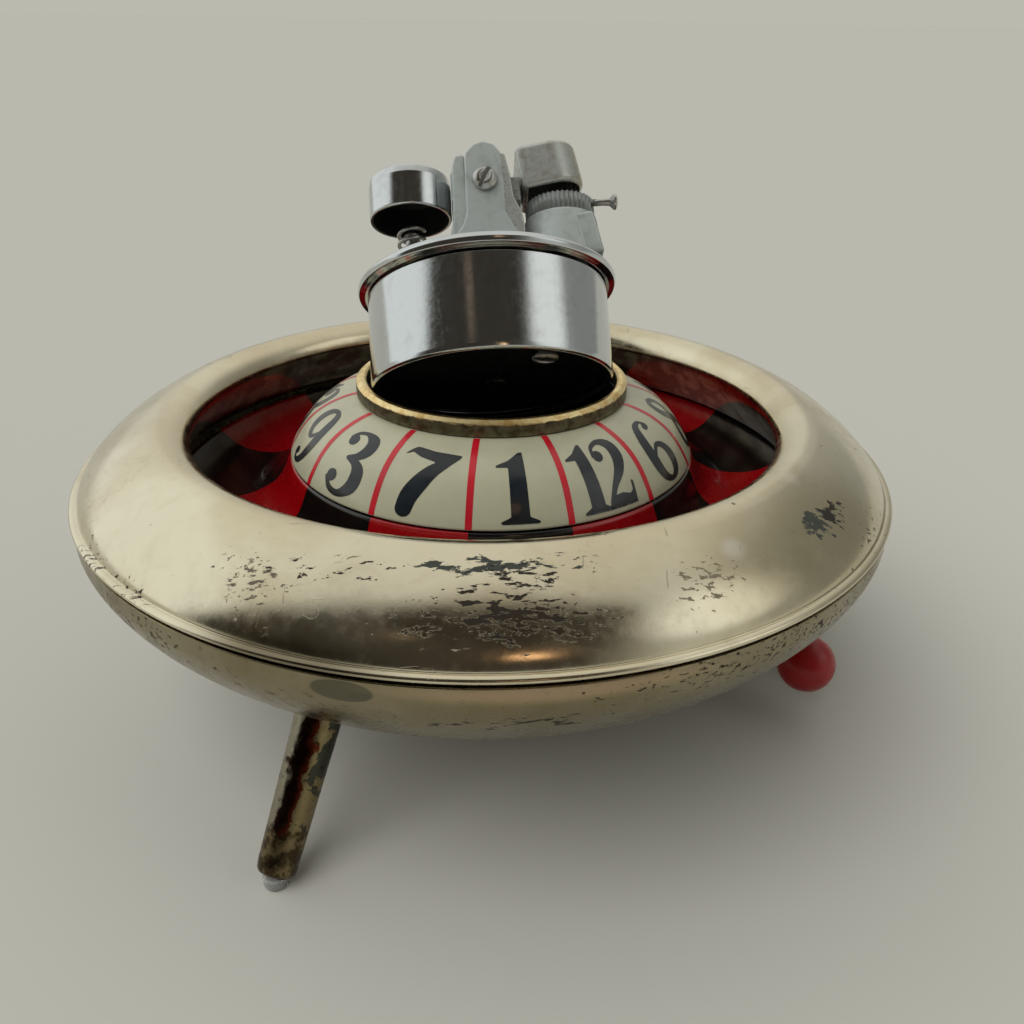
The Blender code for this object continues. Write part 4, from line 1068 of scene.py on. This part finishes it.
def strap_outline(first, last, far, inner, outer):
    """Outline of a fork with two arms along X."""
    if first < far:
        return [(first, -outer), (far, -outer), (far, -inner), (last, -inner), (last, inner), (far, inner),
            (far, outer), (first, outer)]
    return [(far, -outer), (first, -outer), (first, outer), (far, outer), (far, inner), (last, inner),
        (last, -inner), (far, -inner)]


pivot_hole = lathe("hole", [(0, 9), (1.45, 9), (1.45, -9), (0, -9)], 32)
strap = prism("thumb_strap", [strap_outline(-4.7, -3.7, 2.9, 3.9, 4.8)], 27.9, 32.6, 0.25, 2)
strap = place("thumb_strap", strap, cast, "thumb", at=INSERT, node="thumb_lever")
cut(strap, pivot_hole.copy(), PIVOT_AT)
arm = prism("snuffer_strap", [strap_outline(5.9, 4.9, -2, 2.6, 3.5)], 28.3, 32.2, 0.25, 2)
arm = place("snuffer_strap", arm, tarnish, "snuffer", at=INSERT, node="snuffer_arm")
cut(arm, pivot_hole.copy(), PIVOT_AT)

HOOD_AT = INSERT @ shift(6.3, 0, 29.6) @ Matrix.Rotation(radians(-10), 4, "Y")
HOOD_R = 4.9
BORE_R = 4.2
hood_out = [(0.1, -HOOD_R)] + arc(HOOD_R, -90, 90, 28, (5, 0)) + [(0.1, HOOD_R)]
hood_in = [(0.8, -BORE_R)] + arc(BORE_R, -90, 90, 28, (5, 0)) + [(0.8, BORE_R)]
hood = place("snuffer_hood", prism("snuffer_hood", [hood_out], 0, 7, 0.9, 5), tarnish, "snuffer",
    at=HOOD_AT, node="snuffer_cap")
cut(hood, prism("tool", [hood_in], -2, 6.2, 0), HOOD_AT)

# ---- stage

FLOOR_HALF = 40
floor = bpy.data.meshes.new("floor")
floor.from_pydata([(x * FLOOR_HALF, y * FLOOR_HALF, 0) for x, y in ((-1, -1), (1, -1), (1, 1), (-1, 1))],
    [], [(0, 1, 2, 3)])
floor_obj = link("floor", floor)
floor_look = Look("floor_paper", (0.450, 0.447, 0.410), 0, 0.9, Specular_IOR_Level=0)
floor.materials.append(floor_look.material)

# Studio surroundings, by direction: a pale room, a broad window left, a narrow one right, a lamp and a dark
# front.
world = bpy.data.worlds.new("studio")
world.use_nodes = True
bpy.context.scene.world = world
room = Nodes(world.node_tree)
background = world.node_tree.nodes["Background"]
room.mm = world.node_tree.nodes.new("ShaderNodeTexCoord").outputs["Generated"]


def toward(direction, inner, outer):
    """1 within the inner angle of a direction, 0 beyond the outer one, in degrees."""
    unit = Vector(direction).normalized()
    along = room.node("ShaderNodeVectorMath", {0: room.mm, 1: tuple(unit)},
        operation="DOT_PRODUCT").outputs[1]
    return room.span(along, cos(radians(outer)), cos(radians(inner)))


across, deep, high = (room.axis(i) for i in range(3))
HORIZON = (0.497, 0.491, 0.429)
sky = room.mix(room.span(high, 0.03, 0.5), HORIZON, (0.5, 0.5, 0.46))
GLOWS = (((-0.1, 0.55, 0.85), 15, 60, (0.74, 0.73, 0.68)), ((0.85, 0.35, 0.12), 10, 50, (0.27, 0.27, 0.25)),
    ((-0.86, 0.3, 0.33), 20, 52, (0.88, 0.9, 0.87)), )
for way, inner, outer, colour in GLOWS:
    sky = room.mix(toward(way, inner, outer), sky, colour)
front = room.times(room.span(deep, -0.28, -0.14, 1, 0), room.span(across, 0.36, 0.8, 1, 0))
front = room.times(front, room.span(high, -0.02, 0.06))
sky = room.mix(front, sky, (0.045, 0.039, 0.031))
sky = room.mix(toward((0.76, -0.24, 0.6), 7, 22), sky, (0.95, 0.95, 0.91))
sky = room.mix(toward((0.177, -0.768, 0.616), 2.5, 5), sky, (1.9, 1.15, 0.65))
sky = room.mix(room.times(toward((-0.3, -0.5, 0.81), 1, 4.5), 0.35), sky, (0.45, 0.34, 0.24))
sky = room.mix(room.span(high, 0.01, 0.06, 1, 0), sky, HORIZON)
room.tree.links.new(sky, background.inputs[0])
background.inputs[1].default_value = 1


def distant(name, way, spread, strength, colour):
    """Wide soft light from a direction, kept out of mirror reflections."""
    data = bpy.data.lights.new(name, "SUN")
    data.energy = strength
    data.color = colour
    data.angle = radians(spread)
    lamp = link(name, data)
    lamp.rotation_euler = Vector(way).to_track_quat("Z", "Y").to_euler()
    lamp.visible_glossy = False


distant("key", (-0.55, 0.15, 0.8), 60, 0.45, (1, 0.99, 0.96))
distant("fill", (-0.42, -0.5, 0.76), 50, 2, (1, 0.99, 0.97))

# ---- camera

lens = bpy.data.cameras.new("view")
lens.sensor_width = 36
lens.lens = 1000 / 1024 * lens.sensor_width
lens.clip_start = 0.005
camera = link("view", lens)
YAW, PITCH, ROLL = 0.03036, 0.4594, 0.0142
forward = Vector((sin(YAW) * cos(PITCH), cos(YAW) * cos(PITCH), -sin(PITCH)))
level = Vector((cos(YAW), -sin(YAW), 0))
above = level.cross(forward)
right = level * cos(ROLL) + above * sin(ROLL)
up = above * cos(ROLL) - level * sin(ROLL)
pose = Matrix((right, up, -forward)).transposed().to_4x4()
pose.translation = Vector((0, -149.21, 104.64)) * MM
camera.matrix_world = pose
bpy.context.scene.camera = camera
bpy.context.scene.view_settings.view_transform = "Standard"
